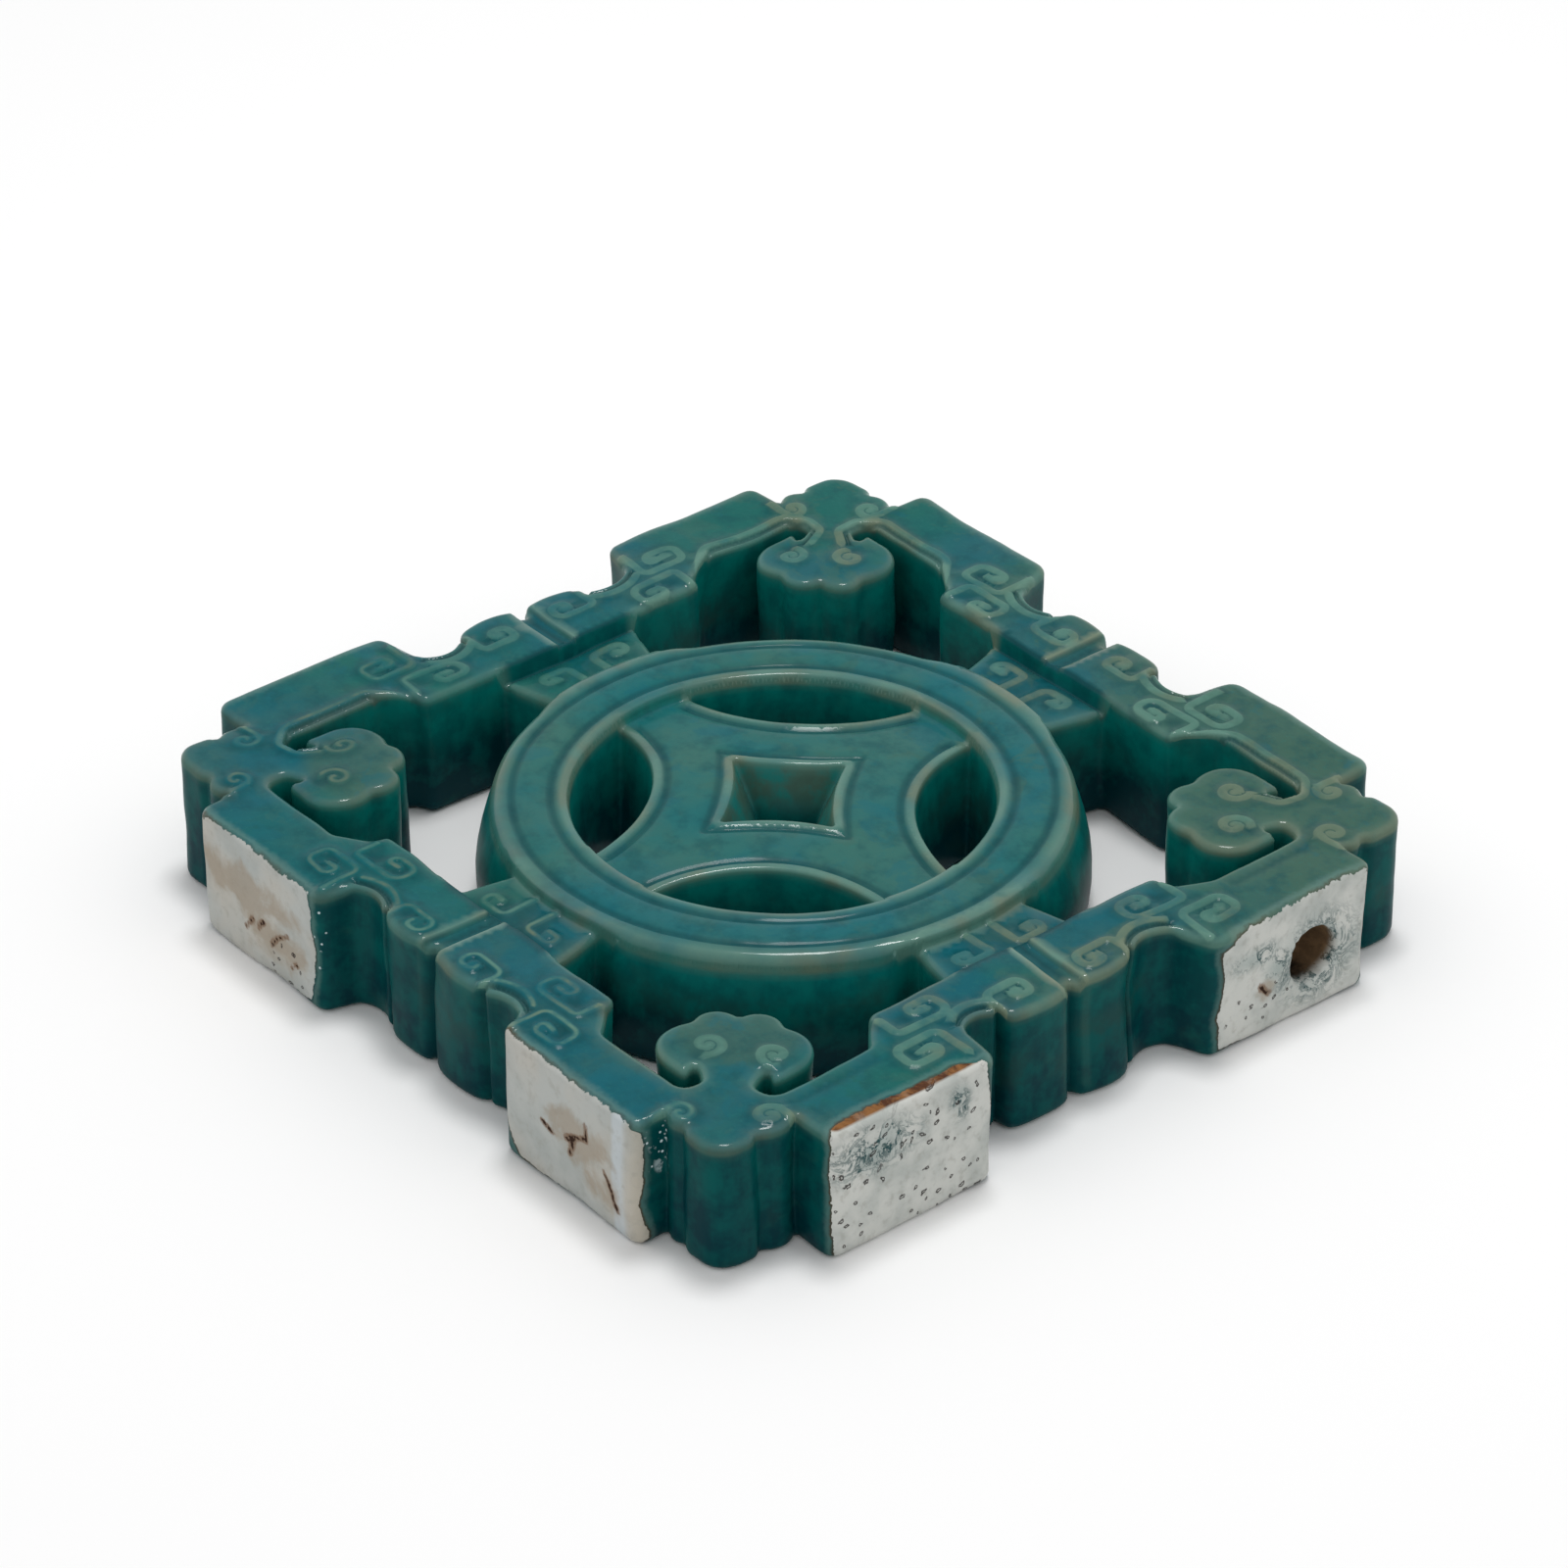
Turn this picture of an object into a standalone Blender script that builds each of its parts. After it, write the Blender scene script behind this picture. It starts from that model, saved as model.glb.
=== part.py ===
"""Openwork building tile of glazed clay, lying flat on its underside.

A square frame holds a coin ring with four leaf-shaped openings, and a ruyi cloud head
grows inwards from each corner. The tile is one piece of clay: its plan is cut into
triangles along the lines of the carving, and a height rule lifts each corner of them.
"""
import math

import bmesh
import bpy
import numpy as np
from mathutils import Matrix, Vector
from mathutils.geometry import delaunay_2d_cdt

MM = 0.001

# Whole tile
SPAN = 305 * MM
THICKNESS = 45.5 * MM
TOP_ROUND = 3 * MM
FOOT_ROUND = 2.5 * MM

# Frame, from its outer faces inwards
BLOCK_SETBACK = 13.5 * MM
BLOCK_END = 23.5 * MM
BLOCK_ROUND = 6 * MM
WAIST_SAG = 3 * MM
WAIST_END = 41 * MM
WAIST_ROUND = 4 * MM
PAD_ROUND = 4.5 * MM
LOBE_ROUND = 9 * MM
BUMP_BACK = 32 * MM
BUMP_SAG = 0.23
SCALLOP_DEPTH = 2.5 * MM
PANEL_WIDTH = 27 * MM
PANEL_END = 58 * MM
PANEL_ROUND = 4 * MM
PANEL_SLOPE = 10 * MM
SLIM_WIDTH = 28 * MM

# Pads, clockwise from the back side's right one, each a little out of true: where it starts from
# the side's middle, how far it ends from the tile's corner, and how far its end face, the corner
# lobe beside it and the waist on its other side stand back
PADS = (
    (46 * MM, 43 * MM, 0.5 * MM, 13 * MM, 17.5 * MM),
    (46.5 * MM, 40.5 * MM, 2 * MM, 13.5 * MM, 15.5 * MM),
    (41 * MM, 45.5 * MM, -0.5 * MM, 14 * MM, 17.5 * MM),
    (48 * MM, 37 * MM, 5.5 * MM, 15.5 * MM, 14 * MM),
    (43.5 * MM, 44 * MM, 3 * MM, 14 * MM, 14.5 * MM),
    (45 * MM, 42.5 * MM, -2 * MM, 12.5 * MM, 17.5 * MM),
    (46 * MM, 43 * MM, 1 * MM, 13.5 * MM, 18.5 * MM),
    (46 * MM, 43 * MM, 1 * MM, 13.5 * MM, 18 * MM),
)

# Groove across the middle of each side
SPLIT_HALF = 2.5 * MM
SPLIT_DEPTH = 2.5 * MM
SPLIT_FACE_DEPTH = 4.5 * MM

# Coin ring and its leaf-shaped openings
RING_RADIUS = 93 * MM
RING_WIDTH = 25.5 * MM
RING_DROP = 1.5 * MM
RING_GROOVE_OUT = 7.5 * MM
RING_GROOVE_IN = 6.5 * MM
CROSS_DROP = 1 * MM
CROSS_SAG = 3.5 * MM
CROSS_ARM = 28 * MM
LEAF_NEAR = 42 * MM
LEAF_TIP_ROUND = 2 * MM
HOLE_CORNER = 25.5 * MM
HOLE_NEAR = 16 * MM
HOLE_CORNER_ROUND = 1.5 * MM
FUNNEL_CORNER = 14 * MM
FUNNEL_DEPTH = 20 * MM
LEAF_MIDDLE = 55 * MM
LEAF_NARROWING = 0.76
RING_FLARE = 3.5 * MM
FLARE_REACH = 12 * MM
RIM_WIDTH = 4.5 * MM

# Tabs between the ring and the frame
TAB_DROP = 5.5 * MM
TAB_RING_HALF = 21 * MM
TAB_FRAME_HALF = 26.5 * MM

# Ruyi cloud heads, drawn in shares of the curl's radius
CURL_RADIUS = 12.4 * MM
CURL_BACK = 33 * MM
SLOT = 5 * MM
POCKET_BACK = 18 * MM
POCKET_ROUND = 4 * MM
CLOUD_LOBE = 0.61
CLOUD_LOBE_PLACE = (-0.38, -0.92)
CURL_TIP = 0.8
CURL_CROOK = (0.52, 0.45)
POCKET_FLOOR = 7.7 * MM
CROOK_ROUND = 1.2 * MM
TIP_ROUND = 0.8 * MM

# Raised lines and incised lines on the top
LINE_HEIGHT = 1 * MM
LINE_HALF = 1.5 * MM
INCISED_DEPTH = 1 * MM
INCISED_HALF = 1.3 * MM
WAIST_LINE_INSET = 5 * MM
SCROLL_SHRINK = 0.62

# Scrolls: place along the side, place in from the frame's outer line, half length, half width,
# squareness, first angle and turn in degrees. The tab's is set in from the panel's edge, the
# curl's has only its radius and angles, and the corner's is set back from both outer lines.
PAD_SCROLL = (55 * MM, 18.5 * MM, 8.5 * MM, 5 * MM, 8, 225, 405)
PANEL_SCROLL = (46 * MM, 32 * MM, 10.5 * MM, 4.4 * MM, 8, 0, 270)
BLOCK_SCROLL = (15.5 * MM, 22 * MM, 6.5 * MM, 4.8 * MM, 8, 45, -315)
CURL_SCROLL = (5.8 * MM, 45, -405)
CORNER_SCROLL = (40 * MM, 22 * MM, 5 * MM, 135, 360)
TAB_SCROLL = (12 * MM, 9.5 * MM, 5 * MM, 3.6 * MM, 8, 225, -270)

# Kiln hole in one end face, and that pad's place in the list
KILN_PAD = 1
KILN_HOLE_SIDE = 88.5 * MM
KILN_HOLE_HEIGHT = 21 * MM
KILN_HOLE_RADIUS = 9.5 * MM
KILN_HOLE_DEPTH = 15 * MM
KILN_HOLE_TAPER = 0.6

# Fineness of the model: how far a straight run may cut inside its arc, a step's width, where a
# rounded edge is cut across, how near two points count as one, and the grain of all places
FINENESS = 0.45 * MM
STEP_WIDTH = 0.6 * MM
HALF_ROUND = 0.3
WELD = 0.002 * MM
GRAIN = 0.0001 * MM
SPIRAL_STEP = 45
KILN_HOLE_SIDES = 16
SHARP_ANGLE = math.radians(40)

MIDDLE = SPAN / 2
BLOCK_FACE = MIDDLE - BLOCK_SETBACK
PANEL_EDGE = BLOCK_FACE - PANEL_WIDTH
SLIM_EDGE = MIDDLE - SLIM_WIDTH
RING_INNER = RING_RADIUS - RING_WIDTH
FRAME_TOP = THICKNESS - LINE_HEIGHT
RING_TOP = FRAME_TOP - RING_DROP
TAB_TOP = FRAME_TOP - TAB_DROP
CURL_CENTRE = (SLIM_EDGE - CURL_BACK, SLIM_EDGE - SLOT - CURL_RADIUS)
TAB_ANGLE = math.acos(TAB_RING_HALF / RING_RADIUS)
ARM_ANGLE = math.acos(CROSS_ARM / 2 / RING_INNER)


def clear_scene():
    for old in list(bpy.data.objects):
        bpy.data.objects.remove(old, do_unlink=True)


def arc_steps(radius, turn):
    """How many straight runs stand for an arc of this radius and turn in radians."""
    run = 2 * math.acos(1 - min(FINENESS / abs(radius), 0.5))
    return max(1, math.ceil(round(abs(turn) / run, 6)))


def arc(centre, radius, start, end):
    """Points of a circular arc, both ends included, with angles in radians."""
    steps = arc_steps(radius, end - start)
    return [(centre[0] + radius * math.cos(start + (end - start) * i / steps),
             centre[1] + radius * math.sin(start + (end - start) * i / steps))
            for i in range(steps + 1)]


def bowed(start, end, sag):
    """Points of an arc from start to end that swells by sag to the left of the way."""
    start, end = Vector(start), Vector(end)
    half = (end - start).length / 2
    side = Vector((start.y - end.y, end.x - start.x)).normalized()
    radius = (half * half + sag * sag) / (2 * sag)
    centre = (start + end) / 2 + side * (sag - radius)
    spread = math.asin(half / abs(radius))
    steps = arc_steps(radius, 2 * spread)
    points = []
    for i in range(steps + 1):
        turn = spread * (1 - 2 * i / steps) * math.copysign(1, sag)
        points.append(tuple(centre + Matrix.Rotation(turn, 2) @ (side * radius)))
    return points


def rounded(corners, looped=False):
    """A path through corners (x, y, radius), with an arc in place of each rounded corner."""
    path = []
    count = len(corners)
    for i, (x, y, radius) in enumerate(corners):
        if radius == 0 or not looped and i in (0, count - 1):
            path.append((x, y))
            continue
        here = Vector((x, y))
        before = (Vector(corners[i - 1][:2]) - here).normalized()
        after = (Vector(corners[(i + 1) % count][:2]) - here).normalized()
        turn = math.pi - before.angle(after)
        tangent = radius * math.tan(turn / 2)
        middle = here + (before + after).normalized() * radius / math.cos(turn / 2)
        first = here + before * tangent - middle
        spin = math.copysign(turn, before.x * after.y - before.y * after.x)
        steps = arc_steps(radius, turn)
        for step in range(steps + 1):
            path.append(tuple(middle + Matrix.Rotation(-spin * step / steps, 2) @ first))
    return path


def plain(points):
    """Points as corners that stay sharp."""
    return [(x, y, 0) for x, y in points]


def across(points):
    """The same points mirrored in the corner's diagonal."""
    return [(y, x) for x, y in points]


def turned(points, quarter):
    """The same points turned by a number of quarter turns."""
    cos, sin = ((1, 0), (0, 1), (-1, 0), (0, -1))[quarter]
    return [(x * cos - y * sin, x * sin + y * cos) for x, y in points]


def four_ways(points):
    return [turned(points, quarter) for quarter in range(4)]


def eight_ways(points):
    mirrored = [(-x, y) for x, y in points]
    return four_ways(points) + four_ways(mirrored)


def whole_corner(half):
    """A closed loop from a half that starts and ends on the corner's diagonal."""
    return half + across(half)[-2:0:-1]


def side_corners(start, end_back, setback, lobe_setback, waist_setback):
    """Corners of half a side's outline: middle block, waist, pad and small bump."""
    end = MIDDLE - end_back
    bump_end = MIDDLE - BUMP_BACK
    waist_face = MIDDLE - waist_setback
    pad_face = MIDDLE - setback
    lobe_face = MIDDLE - lobe_setback
    notch = lobe_face - SCALLOP_DEPTH
    waist = bowed((BLOCK_END, waist_face), (WAIST_END, waist_face), -WAIST_SAG)
    bump = bowed((end, notch), (bump_end, notch), BUMP_SAG * (bump_end - end))
    return ([(0, BLOCK_FACE - SPLIT_FACE_DEPTH, 0), (SPLIT_HALF, BLOCK_FACE, SPLIT_HALF / 2)]
            + [(BLOCK_END, BLOCK_FACE, BLOCK_ROUND)] + plain(waist[:-1]) + [(*waist[-1], WAIST_ROUND)]
            + [(start, pad_face, PAD_ROUND), (end, pad_face, PAD_ROUND)] + plain(bump)
            + [(bump_end + SCALLOP_DEPTH, lobe_face, SCALLOP_DEPTH / 2)])


def outer_outline():
    """The outer loop: four quarters, each two half sides with a corner lobe between them."""
    loop = []
    for part in range(4):
        before, after = PADS[2 * part], PADS[2 * part + 1]
        lobe = (MIDDLE - after[3], MIDDLE - before[3], LOBE_ROUND)
        beyond = [(y, x, radius) for x, y, radius in side_corners(*after)[::-1]]
        loop += turned(rounded(side_corners(*before) + [lobe] + beyond), -part)
    return drop_doubles(loop)


def drop_doubles(loop):
    """A closed loop without neighbouring points in one place."""
    return [point for i, point in enumerate(loop) if math.dist(point, loop[i - 1]) > WELD]


def cloud_half():
    """Half of a ruyi head's edge, from the slot's mouth round the curl to the diagonal."""
    radius = CURL_RADIUS
    curl = Vector(CURL_CENTRE)
    lobe = curl + Vector(CLOUD_LOBE_PLACE) * radius
    lobe_radius = CLOUD_LOBE * radius
    gap = lobe - curl
    along = (gap.length_squared + radius ** 2 - lobe_radius ** 2) / (2 * gap.length)
    side = Vector((gap.y, -gap.x)).normalized() * math.sqrt(radius ** 2 - along ** 2)
    meet = curl + gap.normalized() * along + side
    off = (lobe.y - lobe.x) / math.sqrt(2)
    reach = math.sqrt(lobe_radius ** 2 - off ** 2) / math.sqrt(2)
    notch = Vector(((lobe.x + lobe.y) / 2 - reach, (lobe.x + lobe.y) / 2 - reach))
    floor = (SLIM_EDGE - POCKET_BACK, SLIM_EDGE - POCKET_FLOOR)
    curl_end = math.atan2(*(meet - curl).yx) % (2 * math.pi)
    lobe_start = math.atan2(*(meet - lobe).yx) % (2 * math.pi)
    lobe_end = math.atan2(*(notch - lobe).yx) % (2 * math.pi)
    pocket = [(floor[0], SLIM_EDGE, POCKET_ROUND), (*floor, POCKET_ROUND / 2),
              (curl.x + CURL_CROOK[0] * radius, curl.y + CURL_CROOK[1] * radius, CROOK_ROUND),
              (curl.x + CURL_TIP * radius, curl.y + radius, TIP_ROUND)]
    curve = arc(curl, radius, math.pi / 2, curl_end)
    front = arc(lobe, lobe_radius, lobe_start, lobe_end)
    return pocket, curve + front[1:]


def corner_half():
    """Half of a corner opening, from the ring's diagonal to the ruyi head's middle notch."""
    ring = arc((0, 0), RING_RADIUS, math.pi / 4, TAB_ANGLE)
    pocket, cloud = cloud_half()
    slope_end = PANEL_END + PANEL_SLOPE
    corners = (plain(ring) + [(TAB_FRAME_HALF, PANEL_EDGE, 0),
                              (PANEL_END, PANEL_EDGE, PANEL_ROUND),
                              (slope_end, SLIM_EDGE, PANEL_ROUND)] + pocket + plain(cloud))
    return drop_doubles(rounded(corners))


def frame_inner_half():
    """Half of the frame's own inner edge, which runs straight across the tab."""
    return [(0, PANEL_EDGE)] + [point for point in corner_half() if point[1] >= PANEL_EDGE - WELD
                                or point[0] > TAB_FRAME_HALF and math.hypot(*point) > RING_RADIUS + WELD]


def ring_line(radius, last_angle):
    """A circle along the ring's edge, with points where the parts on the axes join it."""
    eighth = arc((0, 0), radius, math.pi / 4, last_angle)
    eighth += arc((0, 0), radius, last_angle, math.pi / 2)[1:]
    quarter = across(eighth)[:0:-1] + eighth[:-1]
    return [point for part in four_ways(quarter) for point in part]


def leaf_arc_circle():
    """Centre and radius of the arc that bounds a leaf-shaped opening towards the middle."""
    tip = Vector((math.cos(ARM_ANGLE), math.sin(ARM_ANGLE))) * RING_INNER
    diagonal = Vector((1, 1)).normalized()
    along = tip.dot(diagonal)
    off = (tip - diagonal * along).length
    rise = along - LEAF_NEAR
    radius = (rise * rise + off * off) / (2 * rise)
    return diagonal * (LEAF_NEAR + radius), radius


def leaf_loop():
    """A leaf-shaped opening: the ring's inner circle and an arc bowed to the middle."""
    centre, radius = leaf_arc_circle()
    half = arc((0, 0), RING_INNER, math.pi / 4, ARM_ANGLE)
    outer = across(half)[:0:-1] + half
    tip = Vector(outer[-1]) - centre
    start = math.atan2(tip.y, tip.x) % (2 * math.pi)
    end = 2.5 * math.pi - start
    inner = arc(centre, radius, start, end)
    corners = plain(outer + inner[1:-1])
    tips = (0, len(outer) - 1)
    corners = [(x, y, LEAF_TIP_ROUND if i in tips else 0) for i, (x, y, _) in enumerate(corners)]
    return rounded(corners, looped=True)


def hole_loop(corner, near, rounding):
    """The middle opening: four arcs bowed to the middle between corners on the axes."""
    side = bowed((0, corner), (corner, 0), near - corner / math.sqrt(2))
    corners = []
    for part in range(4):
        points = plain(turned(side, -part)[:-1])
        corners += [(*points[0][:2], rounding)] + points[1:]
    return rounded(corners, looped=True)


def offset(path, distance, looped):
    """The path moved sideways, to its left for a positive distance, with mitred corners."""
    points = np.array(path)
    ahead = np.roll(points, -1, axis=0) - points
    ahead /= np.maximum(np.linalg.norm(ahead, axis=1, keepdims=True), WELD)
    behind = np.roll(ahead, 1, axis=0)
    if not looped:
        ahead[-1] = ahead[-2]
        behind[0] = ahead[0]
    mean = ahead + behind
    mean /= np.maximum(np.linalg.norm(mean, axis=1, keepdims=True), WELD)
    normal = np.stack([-mean[:, 1], mean[:, 0]], axis=1)
    stretch = np.clip(np.sum(mean * ahead, axis=1, keepdims=True), 0.5, 1)
    return [tuple(point) for point in points + normal * distance / stretch]


def shrunk(loop, distance):
    """The closed loop drawn in by a distance, or let out by a negative one."""
    x, y = np.array(loop).T
    area = np.sum(x * np.roll(y, -1) - y * np.roll(x, -1))
    return offset(loop, distance * np.sign(area), True)


def scroll(u, v, half_u, half_v, squareness, first, turn):
    """A spiral line that winds in from a rounded square or, at squareness 2, from a circle."""
    points = []
    steps = math.ceil(abs(turn) / SPIRAL_STEP)
    for i in range(steps + 1):
        share = i / steps
        angle = math.radians(first + turn * share)
        cos, sin = math.cos(angle), math.sin(angle)
        reach = (abs(cos) ** squareness + abs(sin) ** squareness) ** (-1 / squareness)
        size = reach * (1 - SCROLL_SHRINK * share)
        points.append((u + half_u * size * cos, v + half_v * size * sin))
    return points


def raised_lines():
    """Scrolls of the frame, the tabs and the corners, and the bead round each slot."""
    lines = []
    for u, inset, half_u, half_v, squareness, first, turn in (PAD_SCROLL, PANEL_SCROLL, BLOCK_SCROLL):
        lines += eight_ways(scroll(u, MIDDLE - inset, half_u, half_v, squareness, first, turn))
    radius, first, turn = CURL_SCROLL
    lines += eight_ways(scroll(*CURL_CENTRE, radius, radius, 2, first, turn))
    back, inset, radius, first, turn = CORNER_SCROLL
    lines += eight_ways(scroll(MIDDLE - back, MIDDLE - inset, radius, radius, 2, first, turn))
    u, inset, half_u, half_v, squareness, first, turn = TAB_SCROLL
    lines += eight_ways(scroll(u, PANEL_EDGE - inset, half_u, half_v, squareness, first, turn))
    return lines


def slot_beads():
    """The bead that follows each slot's edge, from the panel's end round the pocket."""
    pocket, _ = cloud_half()
    corners = [(PANEL_END, PANEL_EDGE, 0), (PANEL_END + PANEL_SLOPE, SLIM_EDGE, PANEL_ROUND)]
    corners += [*pocket[:2], (*pocket[2][:2], 0)]
    return eight_ways(offset(rounded(corners), TOP_ROUND, False))


def incised_lines():
    """Lines round the ring, along the leaves, round the middle opening and at the waists."""
    lines = []
    for radius in (RING_RADIUS - RING_GROOVE_OUT, RING_INNER + RING_GROOVE_IN):
        lines.append(arc((0, 0), radius, 0, 2 * math.pi))
    centre, radius = leaf_arc_circle()
    outside = radius + RIM_WIDTH
    limit = RING_INNER - RIM_WIDTH
    reach = (centre.length_squared + outside ** 2 - limit ** 2) / (2 * centre.length * outside)
    spread = math.acos(min(1, reach))
    middle = 1.25 * math.pi
    lines += four_ways(arc(centre, outside, middle - spread, middle + spread))
    rim_corner = HOLE_CORNER + RIM_WIDTH * math.sqrt(2)
    lines.append(hole_loop(rim_corner, HOLE_NEAR + RIM_WIDTH, 0))
    lines[-1].append(lines[-1][0])
    for i, pad in enumerate(PADS):
        height = MIDDLE - pad[4] - WAIST_LINE_INSET
        line = bowed((BLOCK_END, height), (WAIST_END, height), -WAIST_SAG)
        lines.append(turned(across(line) if i % 2 else line, -(i // 2)))
    return lines


def split_lines():
    """The groove across each side's middle, from the ring's edge to the outer face."""
    return four_ways([(0, RING_RADIUS), (0, MIDDLE)])


def segments_of(paths):
    starts = np.array([point for path in paths for point in path[:-1]])
    ends = np.array([point for path in paths for point in path[1:]])
    return starts, ends


def distance_to(points, paths):
    """Distance from each point to the nearest of the paths."""
    starts, ends = segments_of(paths)
    along = ends - starts
    length = np.maximum(np.sum(along ** 2, axis=1), WELD ** 2)
    nearest = np.full(len(points), np.inf)
    for start, way, square in zip(starts, along, length):
        share = np.clip((points - start) @ way / square, 0, 1)
        gap = points - start - share[:, None] * way
        nearest = np.minimum(nearest, np.hypot(gap[:, 0], gap[:, 1]))
    return nearest


def inside(points, loop):
    """Whether each point lies within the closed loop."""
    result = np.zeros(len(points), dtype=bool)
    x, y = points[:, 0], points[:, 1]
    for (x0, y0), (x1, y1) in zip(loop, loop[1:] + loop[:1]):
        crosses = (y0 > y) != (y1 > y)
        level = np.where(y1 == y0, 1.0, y1 - y0)
        result ^= crosses & (x < (x1 - x0) * (y - y0) / level + x0)
    return result


def closed(loop):
    return loop + loop[:1]


def edge_fall(distance, radius):
    """How far a rounded edge of the given radius has dropped at a distance inside it."""
    left = np.clip(radius - distance, 0, radius)
    return radius - np.sqrt(np.maximum(radius ** 2 - left ** 2, 0))


class Plan:
    """The loops of the tile's plan and the lines of its carving."""

    def __init__(self):
        self.outer = outer_outline()
        self.corners = four_ways(whole_corner(corner_half()))
        self.leaves = four_ways(leaf_loop())
        self.hole = hole_loop(HOLE_CORNER, HOLE_NEAR, HOLE_CORNER_ROUND)
        half = frame_inner_half()
        quarter = half + across(half)[-2::-1]
        self.frame_inner = drop_doubles([point for part in range(4) for point in turned(quarter, -part)])
        self.openings = self.corners + self.leaves + [self.hole]
        self.raised = raised_lines()
        self.beads = slot_beads()
        self.incised = incised_lines()
        self.split = split_lines()
        self.ring_outer = ring_line(RING_RADIUS, TAB_ANGLE)
        self.ring_inner = ring_line(RING_INNER, ARM_ANGLE)


def top_height(points, plan):
    """The top's height: the level of each region, its rounded edges and the carved lines."""
    radius = np.hypot(points[:, 0], points[:, 1])
    side = np.max(np.abs(points), axis=1)
    near = STEP_WIDTH / 2
    on_cross = radius < RING_INNER - near
    on_ring = (radius <= RING_RADIUS + near) & ~on_cross
    on_tab = (radius > RING_RADIUS + near) & (side < PANEL_EDGE - near) & inside(points, plan.frame_inner)
    frame_edge = distance_to(points, [closed(plan.outer), closed(plan.frame_inner)])
    ring_edge = np.maximum(np.minimum(RING_RADIUS - radius, radius - RING_INNER), 0)
    tab_sides = eight_ways([(TAB_RING_HALF, math.sqrt(RING_RADIUS ** 2 - TAB_RING_HALF ** 2)),
                            (TAB_FRAME_HALF, PANEL_EDGE)])
    tab_edge = distance_to(points, tab_sides)
    cross_edge = distance_to(points, [closed(loop) for loop in plan.leaves + [plan.hole]])
    cross_top = RING_TOP - CROSS_DROP - CROSS_SAG * (radius / RING_INNER) ** 2
    height = FRAME_TOP - edge_fall(frame_edge, TOP_ROUND)
    height = np.where(on_ring, RING_TOP - edge_fall(ring_edge, TOP_ROUND), height)
    height = np.where(on_tab, TAB_TOP - edge_fall(tab_edge, TOP_ROUND), height)
    height = np.where(on_cross, cross_top - edge_fall(cross_edge, TOP_ROUND / 2), height)
    raised = np.maximum(1 - distance_to(points, plan.raised + plan.beads) / LINE_HALF, 0)
    incised = np.maximum(1 - distance_to(points, plan.incised) / INCISED_HALF, 0)
    split = np.maximum(1 - distance_to(points, plan.split) / SPLIT_HALF, 0)
    split[on_ring] = 0
    return height + LINE_HEIGHT * raised - INCISED_DEPTH * incised - SPLIT_DEPTH * split


def triangulate(paths, outlines):
    """Cut the plane into triangles along the paths and keep those that lie within the outlines."""
    points = []
    edges = []
    for path in paths:
        first = len(points)
        points += [Vector((round(x / GRAIN) * GRAIN, round(y / GRAIN) * GRAIN)) for x, y in path]
        edges += [(i, i + 1) for i in range(first, len(points) - 1)]
    verts, _, faces, _, _, _ = delaunay_2d_cdt(points, edges, [], 0, WELD)
    places = np.array([tuple(vert) for vert in verts])
    faces = np.array([tuple(face) for face in faces])
    middles = places[faces].mean(axis=1)
    keep = inside(middles, outlines[0])
    for opening in outlines[1:]:
        keep &= ~inside(middles, opening)
    return places, faces[keep]


def foot_line(path, half_width):
    """The closed line round a raised or incised line, at its foot."""
    if math.dist(path[0], path[-1]) < WELD:
        return [shrunk(path[:-1], side * half_width) for side in (1, -1)]
    start, end = Vector(path[0]), Vector(path[-1])
    before = start + (start - Vector(path[1])).normalized() * half_width
    after = end + (end - Vector(path[-2])).normalized() * half_width
    left, right = offset(path, half_width, False), offset(path, -half_width, False)
    return [left + [tuple(after)] + right[::-1] + [tuple(before)]]


def top_paths(plan):
    """All lines along which the top is cut into triangles."""
    paths = [closed(plan.outer)]
    for share in (HALF_ROUND, 1):
        paths += [closed(shrunk(loop, share * TOP_ROUND)) for loop in (plan.outer, plan.ring_outer)]
        paths += [closed(shrunk(loop, -share * TOP_ROUND)) for loop in (plan.frame_inner, plan.ring_inner)]
    paths += [closed(loop) for loop in plan.openings]
    paths += [closed(shrunk(loop, -TOP_ROUND / 2)) for loop in plan.leaves + [plan.hole]]
    panel = [(-TAB_FRAME_HALF, PANEL_EDGE), (TAB_FRAME_HALF, PANEL_EDGE)]
    for step in (0, STEP_WIDTH):
        paths += four_ways([(x, y - step) for x, y in panel])
        paths.append(closed(shrunk(plan.ring_outer, -step)))
        paths.append(closed(shrunk(plan.ring_inner, step)))
    for line in plan.raised + plan.beads:
        paths += [line] + [closed(loop) for loop in foot_line(line, LINE_HALF)]
    for line in plan.incised:
        paths += [line] + [closed(loop) for loop in foot_line(line, INCISED_HALF)]
    for line in plan.split:
        paths += [line] + [closed(loop) for loop in foot_line(line, SPLIT_HALF)]
    return paths


def foot_place(point):
    """Where a point of the plan stands on the underside: openings narrow and the ring flares."""
    place = Vector(point)
    if place.length <= HOLE_CORNER + WELD:
        return tuple(place * FUNNEL_CORNER / HOLE_CORNER)
    if place.length <= RING_INNER + WELD:
        middle = Vector((math.copysign(1, place.x), math.copysign(1, place.y))).normalized() * LEAF_MIDDLE
        return tuple(middle + (place - middle) * LEAF_NARROWING)
    flare = RING_FLARE * max(0, 1 - abs(place.length - RING_RADIUS) / FLARE_REACH)
    return tuple(place * (1 + flare / place.length))


def boundary_loops(mesh):
    """The mesh's open edges as loops of vertices in order."""
    following = {}
    for edge in mesh.edges:
        if len(edge.link_faces) == 1:
            loop = edge.link_loops[0]
            following[loop.vert] = loop.link_loop_next.vert
    loops = []
    while following:
        first = next(iter(following))
        loop = [first]
        while following[loop[-1]] is not first:
            loop.append(following.pop(loop[-1]))
        following.pop(loop[-1])
        loops.append(loop)
    return loops


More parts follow.
